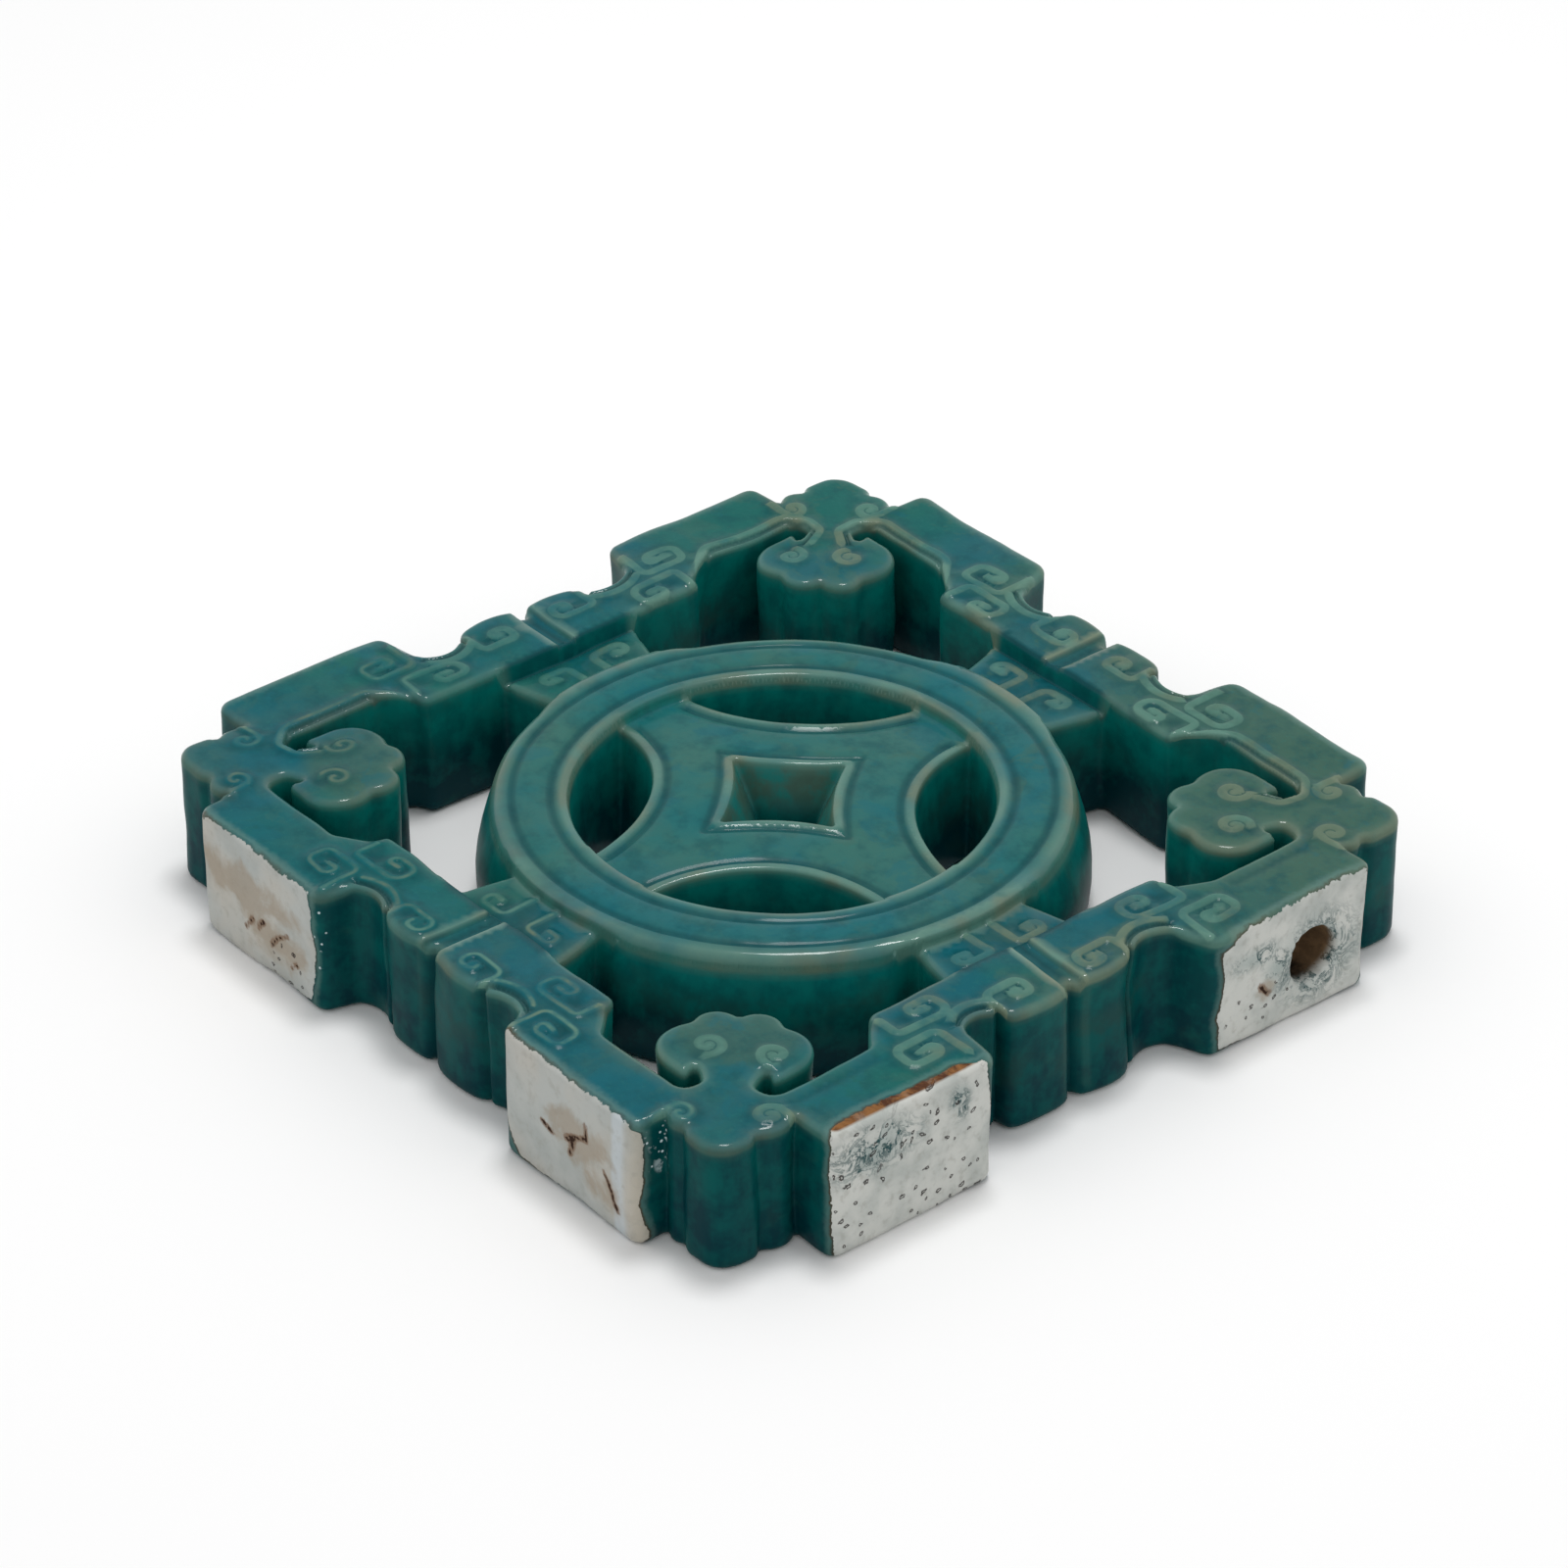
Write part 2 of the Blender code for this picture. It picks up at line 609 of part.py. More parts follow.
def add_wall(mesh, upper, lower):
    """A band of faces between two loops of vertices that run alongside each other."""
    for i in range(len(upper)):
        mesh.faces.new([upper[i], upper[i - 1], lower[i - 1], lower[i]])


def add_underside(mesh, plan, loops):
    """Walls down from each loop, and a flat underside with a rounded edge."""
    paths = []
    for loop in loops:
        paths.append(closed([foot_place(vert.co.xy) for vert in loop]))
    outlines = list(paths)
    rim, *openings = [[foot_place(point) for point in loop] for loop in (plan.outer, *plan.openings)]
    paths.append(closed(shrunk(rim, FOOT_ROUND)))
    paths += [closed(shrunk(loop, -FOOT_ROUND)) for loop in openings]
    places, faces = triangulate(paths, [rim, *openings])
    heights = edge_fall(distance_to(places, outlines), FOOT_ROUND)
    foot = [mesh.verts.new((x, y, z)) for (x, y), z in zip(places, heights)]
    for face in faces:
        mesh.faces.new([foot[i] for i in face[::-1]])
    for loop in loops:
        lower = [nearest_vert(foot, places, foot_place(vert.co.xy)) for vert in loop]
        if lower[0].co.xy.length < HOLE_CORNER:
            middle = [mesh.verts.new((*vert.co.xy, THICKNESS - FUNNEL_DEPTH)) for vert in lower]
            add_wall(mesh, loop, middle)
            add_wall(mesh, middle, lower)
        else:
            add_wall(mesh, loop, lower)


def nearest_vert(verts, places, point):
    gap = places - np.array(point)
    return verts[int(np.argmin(gap[:, 0] ** 2 + gap[:, 1] ** 2))]


def tile_mesh(plan):
    """The tile as one closed mesh: carved top, underside and the walls between them."""
    places, faces = triangulate(top_paths(plan), [plan.outer, *plan.openings])
    heights = top_height(places, plan)
    mesh = bmesh.new()
    top = [mesh.verts.new((x, y, z)) for (x, y), z in zip(places, heights)]
    for face in faces:
        mesh.faces.new([top[i] for i in face])
    add_underside(mesh, plan, boundary_loops(mesh))
    loose = [vert for vert in mesh.verts if not vert.link_faces]
    bmesh.ops.delete(mesh, geom=loose, context='VERTS')
    bmesh.ops.triangulate(mesh, faces=mesh.faces[:])
    bmesh.ops.translate(mesh, verts=mesh.verts[:], vec=centring(plan))
    return mesh


def centring(plan):
    """The move that brings the middle of the outer loop's box over the origin."""
    outer = np.array(plan.outer)
    middle = (outer.min(axis=0) + outer.max(axis=0)) / 2
    return Vector((-middle[0], -middle[1], 0))


def glaze():
    """Glossy teal glaze over the clay."""
    material = bpy.data.materials.new("teal_glaze")
    material.use_nodes = True
    shader = material.node_tree.nodes["Principled BSDF"]
    shader.inputs["Base Color"].default_value = (0.02, 0.13, 0.12, 1)
    shader.inputs["Roughness"].default_value = 0.2
    shader.inputs["Metallic"].default_value = 0
    return material


def kiln_hole(plan):
    """The cutter of the blind hole in one pad's end face, narrowing inwards."""
    mesh = bmesh.new()
    inner_radius = KILN_HOLE_RADIUS * KILN_HOLE_TAPER
    bmesh.ops.create_cone(mesh, cap_ends=True, segments=KILN_HOLE_SIDES, radius1=inner_radius,
                          radius2=2 * KILN_HOLE_RADIUS - inner_radius, depth=2 * KILN_HOLE_DEPTH)
    data = bpy.data.meshes.new("kiln_hole_cutter")
    mesh.to_mesh(data)
    mesh.free()
    cutter = bpy.data.objects.new("kiln_hole_cutter", data)
    face = MIDDLE - PADS[KILN_PAD][2]
    cutter.location = Vector((face, KILN_HOLE_SIDE, KILN_HOLE_HEIGHT)) + centring(plan)
    cutter.rotation_euler = (0, math.pi / 2, 0)
    cutter.hide_render = True
    cutter.display_type = 'WIRE'
    bpy.context.collection.objects.link(cutter)
    return cutter


def main():
    clear_scene()
    plan = Plan()
    mesh = tile_mesh(plan)
    data = bpy.data.meshes.new("tile")
    mesh.to_mesh(data)
    mesh.free()
    data.materials.append(glaze())
    data.shade_smooth()
    data.set_sharp_from_angle(angle=SHARP_ANGLE)
    tile = bpy.data.objects.new("tile", data)
    bpy.context.collection.objects.link(tile)
    cut = tile.modifiers.new("kiln_hole", 'BOOLEAN')
    cut.operation = 'DIFFERENCE'
    cut.solver = 'EXACT'
    cut.object = kiln_hole(plan)


main()
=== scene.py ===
"""Looks of an openwork building tile: one piece of fired clay under a teal glaze, lying on a pale floor."""
import math

import bpy
import numpy as np
from mathutils import Matrix, Vector
from mathutils.geometry import delaunay_2d_cdt


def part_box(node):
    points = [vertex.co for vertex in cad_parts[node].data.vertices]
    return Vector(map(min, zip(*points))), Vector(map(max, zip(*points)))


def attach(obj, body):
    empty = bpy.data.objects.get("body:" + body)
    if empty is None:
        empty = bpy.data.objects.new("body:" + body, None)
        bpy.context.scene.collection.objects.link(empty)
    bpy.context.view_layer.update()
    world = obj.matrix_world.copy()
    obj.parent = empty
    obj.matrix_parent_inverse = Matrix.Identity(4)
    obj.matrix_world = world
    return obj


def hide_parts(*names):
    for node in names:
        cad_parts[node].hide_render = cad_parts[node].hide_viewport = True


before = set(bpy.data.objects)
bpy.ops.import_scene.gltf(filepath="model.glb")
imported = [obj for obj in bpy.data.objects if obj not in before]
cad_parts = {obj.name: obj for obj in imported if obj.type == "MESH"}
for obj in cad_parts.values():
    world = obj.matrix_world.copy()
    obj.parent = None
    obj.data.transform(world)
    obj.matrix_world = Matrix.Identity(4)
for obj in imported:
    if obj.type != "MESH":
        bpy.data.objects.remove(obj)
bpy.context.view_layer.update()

MM = 0.001

# Camera and studio light, in metres and degrees: the camera's angles are to the side, up and its roll
CAMERA_PLACE = (1.15837, -0.93513, 1.02347)
CAMERA_ANGLES = (51.09524, 33.34443, -0.52794)
CAMERA_LENS = 129.7015
LAMP_PLACE = (-0.15, 0.25, 2)
LAMP_SIZE = 0.5
LAMP_POWER = 16
SKY_STRENGTH = 0.7

# The floor: half its side, and a hair's breadth between it and the tile's foot
FLOOR_HALF = 6
FLOOR_GAP = 0.2 * MM

# Whole tile, in millimetres as all sizes of its plan below
MIDDLE = 152.5
THICKNESS = 45.5
FRAME_TOP = 44.5
TOP_ROUND = 2.4
FOOT_ROUND = 2.5

# Frame: a block in the middle of each side, split in two, then waists with a crease beside the block,
# pads and corner lobes outside, and panels and slim bars inside. The block's crown keeps those of its
# points that lie between its rounded ends.
BLOCK_FACE = 139
BLOCK_BULGE = 1.4
BLOCK_ROUND = 8
BLOCK_CROWN = slice(6, -12)
WAIST_SAG = 3
WAIST_ROUND = 4
CREASE_WIDTH = 2.2
CREASE_DEPTH = 3
PAD_ROUND = 4.5
LOBE_ROUND = 9
BUMP_END = 120.5
BUMP_SAG = 0.23
SCALLOP_DEPTH = 2.5
PANEL_EDGE = 112
PANEL_ROUND = 2.5
PANEL_SLOPE = ((58, 112), (60.5, 115.1), (63.5, 118.9), (68, 124.5))
PANEL_STEP = ((55.6, 112), (55.8, 118.4), (60, 120.4), (68.5, 124.5))
SLIM_EDGE = 124.5
SPLIT_HALF = 2.4
SPLIT_DEPTH = 2
SPLIT_FACE_DEPTH = 4.5
SPLIT_LIP = 1.5
STEP_RUN = 1.2

# How far the pale band of thin glaze, partly a painted highlight along the rounded edges, reaches from the
# # top's edges in and down the walls, how strong it is in the walls' splits, and how far the glaze laps
# round the foot
EDGE_LIGHT = 3.8
WALL_LIGHT = 1.7
SPLIT_WALL_LIGHT = 0.12
UNDER_LAP = 4

# The eight half sides, clockwise from the back side's right one: the axes that their own two
# directions take, along the side and outwards. Then, in those axes, where the middle block, the
# waist and the pad end, how far the waist, the end face and the corner lobe stand back, and how
# much of a step the panel's end has.
HALF_SIDES = {
    "back_right": (((1, 0), (0, 1)), 25, 43, 46, 109.5, 17.5, 0.5, 13, 0.3),
    "right_back": (((0, 1), (1, 0)), 22.5, 40.5, 46.5, 112, 15.5, 2, 13.5, 1),
    "right_front": (((0, -1), (1, 0)), 26, 41, 44, 107, 17.5, -0.5, 14, 0),
    "front_right": (((1, 0), (0, -1)), 26.5, 45, 48, 112, 14, 5.5, 15.5, 0.3),
    "front_left": (((-1, 0), (0, -1)), 22.5, 40.5, 43.5, 108.5, 14.5, 3, 14, 0.7),
    "left_front": (((0, -1), (-1, 0)), 25, 42, 45, 110, 17.5, -2, 12.5, 0.5),
    "left_back": (((0, 1), (-1, 0)), 22.5, 41, 46, 109.5, 18.5, 1, 13.5, 0.6),
    "back_left": (((-1, 0), (0, 1)), 21, 40, 46, 109.5, 18, 1, 13.5, 0.6),
}

# How far the hand-cut lines of each half side lie from their true places, in its own axes:
# the hooks of block, pad and panel, the cloud's curl and the corner's scroll
STRAYING = {
    "back_right": ((1.4, -2.5), (1.2, -3), (2.1, -2.5), (0.9, -1.3), (-0.6, -0.3)),
    "right_back": ((-2.1, 1.2), (-0.3, 1.8), (-1.8, 0.9), (-0.3, 0.9), (1.2, -0.1)),
    "right_front": ((2.8, -0.9), (1.5, 1), (3, 0.4), (0.8, 3.4), (-0.2, 1.9)),
    "front_right": ((2.3, 2), (2.4, 0.7), (2.1, 0.9), (1.4, -1.2), (2.8, 1.3)),
    "front_left": ((-2.1, 2.5), (-1.9, 0.6), (-2.4, 0.9), (-0.4, -0.7), (-0.8, 0.5)),
    "left_front": ((1.3, -3.6), (-0.2, 0.9), (0.5, 0.4), (0.8, 0.6), (2.3, -0.4)),
    "left_back": ((-2.3, -2.6), (-2.5, -3.6), (-1.8, -3.4), (-2.3, -0.4), (-3.3, -0.9)),
    "back_left": ((-3.2, -5), (-3.9, -3.8), (-2.6, -2.5), (-0.9, -2.3), (-1.4, -1.3)),
}

# The hand-cut lines in a half side's own axes, as corners with their rounding, or a spiral's middle,
# radius, first angle, turn and shrinking. Then the hooks' thick heads and the pools inside their turns.
BLOCK_HOOK = ((23.8, 137, 0), (23.8, 127.4, 3), (9.4, 127.4, 3), (9.6, 134.6, 2.6), (16, 134.4, 1.8),
              (15.8, 131.6, 0))
PAD_HOOK = ((47.4, 145, 0), (47.2, 130.4, 3), (63.8, 130.4, 3.2), (64.4, 139.6, 3), (53, 140, 3),
            (52.4, 135, 1.6), (57.6, 135.6, 0))
PANEL_HOOK = ((56, 117, 0), (56, 126, 2), (36, 126, 4), (36.2, 117, 3.4), (46.4, 117, 2.2),
              (46, 121, 1.6), (41.2, 120.8, 0))
TAB_HOOK = ((5, 95, 0), (5, 106.4, 2.4), (16.4, 106.4, 2.6), (16.4, 101.4, 2), (11.4, 101.8, 0))
SLOT_BEAD = ((60.5, 116.5, 0), (64, 122.4, 3), (70, 128.6, 6), (103, 128.6, 6), (109.6, 121.5, 5),
             (108.4, 112.4, 4), (101.4, 108.8, 0))
CURL_SPIRAL = (93, 107, 5.2, 30, -400, 0.85)
CORNER_SPIRAL = (113, 130.6, 4.6, 200, 360, 0.85)
CORNER_TAIL = ((109.2, 138, 0), (108.6, 131.6, 4), (109.1, 129, 0))
LINE_HALF = 2.15
LINE_LEVEL = 1.1
LINE_HEIGHT = 0.8
CROWN_HALF = 1.5
HEADS = ((14, 131.8), (54.6, 136.6), (42.4, 120.6), (12.6, 103))
HEAD_RADIUS = 3.1
POOLS = ((19, 131.3), (58.5, 133.5), (51, 121.5), (95.5, 111.5))
POOL_RADIUS = 4.5
POOL_DEPTH = 0.5
CUT_HALF = 1.15
CUT_DEPTH = 1.1
CUT_EDGE_ROUND = 1.4
WAIST_RIDGE_INSET = 5.2
WAIST_CUT_INSET = 2.3
SLOT_CUT_INSET = 2.4
TAB_CUT_INSET = 0.9
BRINK_INSET = 0.8
BRINK_HALF = 1.3
GROOVE_HALF = 2.2
GROOVE_DEPTH = 0.9

# The half sides whose slots have a bead, those whose slots have a soft trough behind their edges, and
# how far out from the bead's place that trough lies
BEADED = ("back_right", "back_left", "left_front", "left_back")
TROUGHED = ("right_back", "right_front")
TROUGH_SHIFT = (0, 2.4)
TROUGH_HALF = 2.8
TROUGH_DEPTH = 0.5

# Coin ring, its leaf openings and the middle hole
RING_RADIUS = 93
RING_INNER = 67.5
RING_TOP = 43
RING_BULGE = 3
RING_SHOULDER = 5.5
CROSS_DROP = 1
CROSS_SAG = 3.5
CROSS_ARM = 28
LEAF_NEAR = 42
LEAF_MIDDLE = 55
LEAF_NARROWING = 0.76
HOLE_CORNER = 25.5
HOLE_NEAR = 16
FUNNEL_SHARE = 14 / HOLE_CORNER
FUNNEL_DEPTH = 20
RING_FLARE = 3.5
FLARE_REACH = 12
RIM_WIDTH = 4.8
RIM_HEIGHT = 0.35
RING_GROOVES = (85.8, 73.4)

# Tabs between ring and frame
TAB_TOP = 39
TAB_RING_HALF = 21
TAB_FRAME_HALF = 26.5
TAB_ANGLE = math.acos(TAB_RING_HALF / RING_RADIUS)
ARM_ANGLE = math.acos(CROSS_ARM / 2 / RING_INNER)

# Ruyi cloud heads: their middle, their curl, the front lobe, the curl's tip and its crook in shares of
# the curl's radius, and the pocket behind them
CLOUD_MIDDLE = (94, 94, 0)
CURL_RADIUS = 12.4
CURL_CENTRE = (91.5, 107.1)
CLOUD_LOBE = 0.61
CLOUD_LOBE_PLACE = (-0.38, -0.92)
CURL_TIP = 0.8
CURL_CROOK = (0.52, 0.45)
POCKET_BACK = 18
POCKET_FLOOR = 7.7
POCKET_ROUND = 4
CROOK_ROUND = 1.2
TIP_ROUND = 0.8

# How finely the piece is cut: along its arcs, loops and lines, over its open stretches, at its rounded
# edges by their turn in degrees, and down its walls. Free points stand about NEAREST apart at least,
# and an even spread keeps clear of others by cells of a share of its run, with a margin of cells round it.
ARC_RUN = 0.4
LOOP_RUN = 1.42
LINE_RUN = 0.9
OPEN_RUN = 2.1
UNDER_RUN = 6
NEAREST = 0.3
CELL_SHARE = 0.55
CELL_MARGIN = 10
EDGE_TURNS = (22, 45, 68, 95)
FOOT_TURNS = (35, 65, 90)
OUTER_LEVELS = (0, 1.2, 3, 5.4, 7.5, 9.2, 10.7, 12.2, 13.7, 15.2, 16.7, 18.2, 19.7, 21.2, 22.7, 24.2,
                25.7, 27.2, 28.8, 30.6, 33, 35.8, 38.8)
INNER_LEVELS = (0, 1.2, 3.2, 7, 11.5, 16, 21, 27, 33, 38.8)

# How far distances to a path are worked out, and by how many of its runs at once
REACH = 7
BIT = 12

# The hand-made body's hills: how far apart they stand, how high they are and where their waves begin,
# then how much of them the ring loses
HILLS = ((40, 0.3, 1), (15, 0.1, 2), (7, 0.02, 3))
RING_CALM = 0.75

# Where end faces are looked for: from this far along a side, and this far behind a pad's own face
PAD_BEGINS = 30
PAD_BEHIND = 13

# Bare clay of the four end faces in view: the cracks and chips in it, how far it wraps over the top's
# edge, and its outline along the face, unrolled round the pad's ends, and up. The other four have the
# plain one.
CRACKS = {
    "front_left": (((61, 20), (66, 17), (70, 12)), ((74, 19), (77, 15)), ((80, 17), (84, 12)),
                   ((57, 11), (60, 9))),
    "front_right": (((89, 32), (88.5, 26.5), (84, 25), (78, 22)), ((82, 22), (80, 17)),
                    ((97, 20), (101, 15), (103, 9)), ((67, 22), (71, 20))),
    "right_back": (((66, 19), (68, 16), (70, 15)),),
}
CRACK_REACH = 3.5
BARE_FACES = {
    "front_left": (0.7, ((49.6, 50), (47.4, 37), (48, 30), (45.8, 22), (46.8, 12), (49, 2), (60, 1),
                         (84, 0), (104, 1), (108, 4), (108.4, 24), (108, 40), (107, 50))),
    "front_right": (0.9, ((47.4, 50), (112.5, 50), (115.5, 38), (115.4, 30), (115, 23), (113.6, 14),
                          (117, 3), (113, 0), (84, 1), (56, 1.5), (48, 12), (46.4, 30))),
    "right_front": (1.9, ((108, 50), (108, 30), (106.4, -1), (70, -1), (43.6, 1.5), (41.6, 20), (45.4, 30),
                          (49, 50))),
    "right_back": (0.5, ((49.4, 2), (78, 0), (108, 1), (112.4, 8), (113.4, 24), (112, 40), (105, 50),
                         (63, 50), (60.5, 43), (56, 42.4), (54.6, 40), (49.6, 38.6), (50.6, 26),
                         (48.4, 14))),
    "plain": (0.6, ((49.6, 42.4), (48.4, 28), (49.8, 5.4), (76, 4.2), (108, 5), (109.2, 24), (107, 42.6),
                    (78, 43.4))),
}

# Marks on the bare faces: the face, the kind, the middle and the reach along the face and up. The marks of
# # white specks are a painted highlight: glints that stand in for reflections on the glaze.
MARKS = (
    ("right_front", "stain", (91, 33), (18, 9)),
    ("right_front", "stain", (58, 35), (4, 6)),
    ("right_front", "pits", (77, 20), (40, 26)),
    ("front_left", "brown", (80, 27), (32, 10)),
    ("front_left", "brown", (70, 15), (20, 11)),
    ("front_left", "pits", (60, 10), (14, 10)),
    ("front_right", "brown", (86, 24), (19, 10)),
    ("front_right", "brown", (98, 14), (13, 9)),
    ("right_back", "stain", (90, 20), (17, 15)),
    ("right_back", "stain", (64, 31), (10, 4)),
    ("right_back", "stain", (74, 24), (7, 5)),
    ("right_back", "brown", (68, 17), (5, 4)),
    ("right_back", "pits", (66, 12), (14, 7)),
    ("front_right", "painted_glint", (120.5, 36), (5, 7)),
    ("front_right", "painted_glint", (122, 27), (4, 5)),
    ("front_left", "painted_glint", (43.5, 33), (4, 8)),
    ("front_left", "painted_glint", (43, 20), (3, 5)),
)
GLINT_SPACING = 2.4
PIT_SPACING = 5.2
RUST_FACE = "right_front"
RUST_SPAN = (53, 104)
RUST_REACH = 5.2

# Kiln hole in the right side's back pad, along the face and up, then in shares of its radius how far
# its points are drawn together and how deep they are sunk, from its middle outwards
KILN_PAD = "right_back"
KILN_PLACE = (88.5, 21)
KILN_RADIUS = 9.5
KILN_DEPTH = 15
KILN_DRAWN = ((0, 0.5, 0.62, 0.76, 0.9, 1, 1.7), (0, 0.74, 0.86, 0.93, 0.98, 1.05, 1.7))
KILN_SUNK = ((0, 0.5, 0.62, 0.76, 0.9, 1), (1, 0.93, 0.72, 0.34, 0.05, 0))

# Colours of the glaze on the top and where it is thin
TEAL = (0.005, 0.112, 0.098)
SEA_BLUE = (0.002, 0.100, 0.128)
GREY_GREEN = (0.042, 0.112, 0.084)
COIN_TEAL = ((0.010, 0.135, 0.150), (0.040, 0.150, 0.130))
CLOUD_GREEN = (0.042, 0.112, 0.085)
DARK_MOTTLE = (0.001, 0.062, 0.074)
PALE_FLECK = (0.018, 0.165, 0.145)
OLIVE_PATCH = (0.044, 0.120, 0.088)
BLUE_PATCH = (0.002, 0.115, 0.150)
# Pooled glaze, which also serves as painted shade in the middle grooves and on the frame's edge above the
# tab
POOLED_TEAL_AND_SHADE = (0.001, 0.050, 0.058)
# Pale thin glaze, which also serves as a painted highlight on the rounded edges, lips and lines' crowns
THIN_GLAZE_AND_HIGHLIGHT = ((0.100, 0.225, 0.180), (0.140, 0.190, 0.130))

# Colours of the glaze on the walls, light and dark, and at its border. The dark ones are partly painted
# shade, darker towards the foot and most in the openings, whose light one is made brighter as painted light.
OUTER_WALL = ((0.0002, 0.084, 0.079), (0.0002, 0.031, 0.040))
INNER_WALL_LIT_AND_SHADED = ((0.0002, 0.185, 0.160), (0.0002, 0.036, 0.046))
WALL_OLIVE = (0.040, 0.095, 0.065)
FUNNEL_OLIVE = (0.085, 0.090, 0.042)
BROWN_LIP = (0.075, 0.045, 0.022)
MILKY_BAND = (0.150, 0.260, 0.230)
# White specks of painted highlight: glints that stand in for reflections
PAINTED_GLINT_WHITE = (0.62, 0.74, 0.76)

# Colours of the bare clay and of its marks
PALE_CLAY = ((0.58, 0.59, 0.555), (0.44, 0.465, 0.44))
# The front faces' clay: a beige tint, and darker as painted shade
FRONT_CLAY_TINT_AND_SHADE = ((0.36, 0.385, 0.375), (0.42, 0.385, 0.33))
TAN_END = (0.44, 0.39, 0.30)
# A painted sheen: a bluish stripe on the front face
PAINTED_BLUE_SHEEN = (0.56, 0.64, 0.70)
CLAY_GRAIN = (0.34, 0.33, 0.29)
BROWN_MARK = (0.33, 0.27, 0.20)
CRACK_SIDE = (0.19, 0.115, 0.070)
CRACK_DARK = (0.035, 0.018, 0.012)
STAIN_HAZE = (0.22, 0.30, 0.29)
STAIN_TEAL = (0.026, 0.072, 0.076)
PIT_DARK = (0.035, 0.028, 0.026)
RUST = ((0.250, 0.115, 0.042), (0.085, 0.036, 0.020))
# Inside the kiln hole: painted shade, and painted light on the side that the light reaches
KILN_HOLE_SHADE_AND_LIGHT = ((0.012, 0.010, 0.008), (0.17, 0.105, 0.055))


def unit(vector):
    """The vector over its own length."""
    return vector / max(np.linalg.norm(vector), 1e-9)


def arc(centre, radius, start, end):
    """Centre plus radius times the cosine and sine of evenly spaced angles, both ends included."""
    angles = np.linspace(start, end, int(abs(end - start) * radius / ARC_RUN) + 2)
    return np.stack([centre[0] + radius * np.cos(angles), centre[1] + radius * np.sin(angles)], axis=1)


def circle(radius, middle=(0, 0)):
    """A whole turn of an arc."""
    return arc(middle, radius, 0, 2 * math.pi)


def bowed(start, end, sag):
    """An arc from start to end that swells by sag to the left of the way."""
    start, end = np.array(start, float), np.array(end, float)
    half = np.linalg.norm(end - start) / 2
    way = unit(end - start)
    side = np.array([-way[1], way[0]])
    radius = (half * half + sag * sag) / (2 * sag)
    spread = math.asin(half / abs(radius)) * math.copysign(1, sag)
    turns = np.linspace(spread, -spread, int(2 * half / ARC_RUN) + 2)[:, None]
    centre = (start + end) / 2 + side * (sag - radius)
    return centre + radius * (side * np.cos(turns) - way * np.sin(turns))


def rounded(corners, looped=False):
    """A path through corners (x, y, radius), with an arc that touches both sides in each rounded one."""
    path = []
    count = len(corners)
    for i, (x, y, radius) in enumerate(corners):
        here = np.array([x, y], float)
        if radius == 0 or not looped and i in (0, count - 1):
            path.append(here[None])
            continue
        before = unit(np.array(corners[i - 1][:2]) - here)
        after = unit(np.array(corners[(i + 1) % count][:2]) - here)
        turn = math.pi - math.acos(np.clip(before @ after, -1, 1))
        middle = here + unit(before + after) * radius / math.cos(turn / 2)
        first = here + before * radius * math.tan(turn / 2) - middle
        start = math.atan2(first[1], first[0])
        spin = math.copysign(turn, before[0] * after[1] - before[1] * after[0])
        path.append(arc(middle, radius, start, start - spin))
    return np.concatenate(path)


def plain(points):
    """Points as corners that stay sharp."""
    return [(x, y, 0) for x, y in points]


def across(points):
    """The same points mirrored in the corner's diagonal."""
    return points[:, ::-1]


def turned(points, quarter):
    """The same points turned by a number of quarter turns."""
    cos, sin = ((1, 0), (0, 1), (-1, 0), (0, -1))[quarter % 4]
    return points @ np.array([[cos, sin], [-sin, cos]])


def four_ways(points):
    """The same points turned to each of the four sides."""
    return [turned(np.array(points), quarter) for quarter in range(4)]


def evenly(path, run, looped=False):
    """The path cut into equal runs, measured along it."""
    if looped:
        path = np.vstack([path, path[:1]])
    along = np.concatenate([[0], np.cumsum(np.hypot(*np.diff(path, axis=0).T))])
    count = max(2, round(along[-1] / run))
    marks = np.linspace(0, along[-1], count + 1)[:count if looped else None]
    return np.stack([np.interp(marks, along, path[:, axis]) for axis in (0, 1)], axis=1)


def softened(loop):
    """Each point of a closed loop drawn halfway to the middle of its two neighbours."""
    return (np.roll(loop, 1, axis=0) + 2 * loop + np.roll(loop, -1, axis=0)) / 4


def clay_on_left(loop, outer):
    """The loop in the sense that keeps the clay on its left: anticlockwise outside, clockwise round holes.

    Its signed area, half the sum of x times the next y less y times the next x, tells which way it goes."""
    x, y = loop.T
    area = np.sum(x * np.roll(y, -1) - y * np.roll(x, -1)) / 2
    return loop if (area > 0) == outer else loop[::-1]


def left_of(path, looped):
    """Unit vectors square to the path, to its left, halfway between its runs at each point."""
    if looped:
        way = np.roll(path, -1, axis=0) - np.roll(path, 1, axis=0)
    else:
        way = np.gradient(path, axis=0)
    way = way / np.maximum(np.hypot(*way.T), 1e-9)[:, None]
    return np.stack([-way[:, 1], way[:, 0]], axis=1)


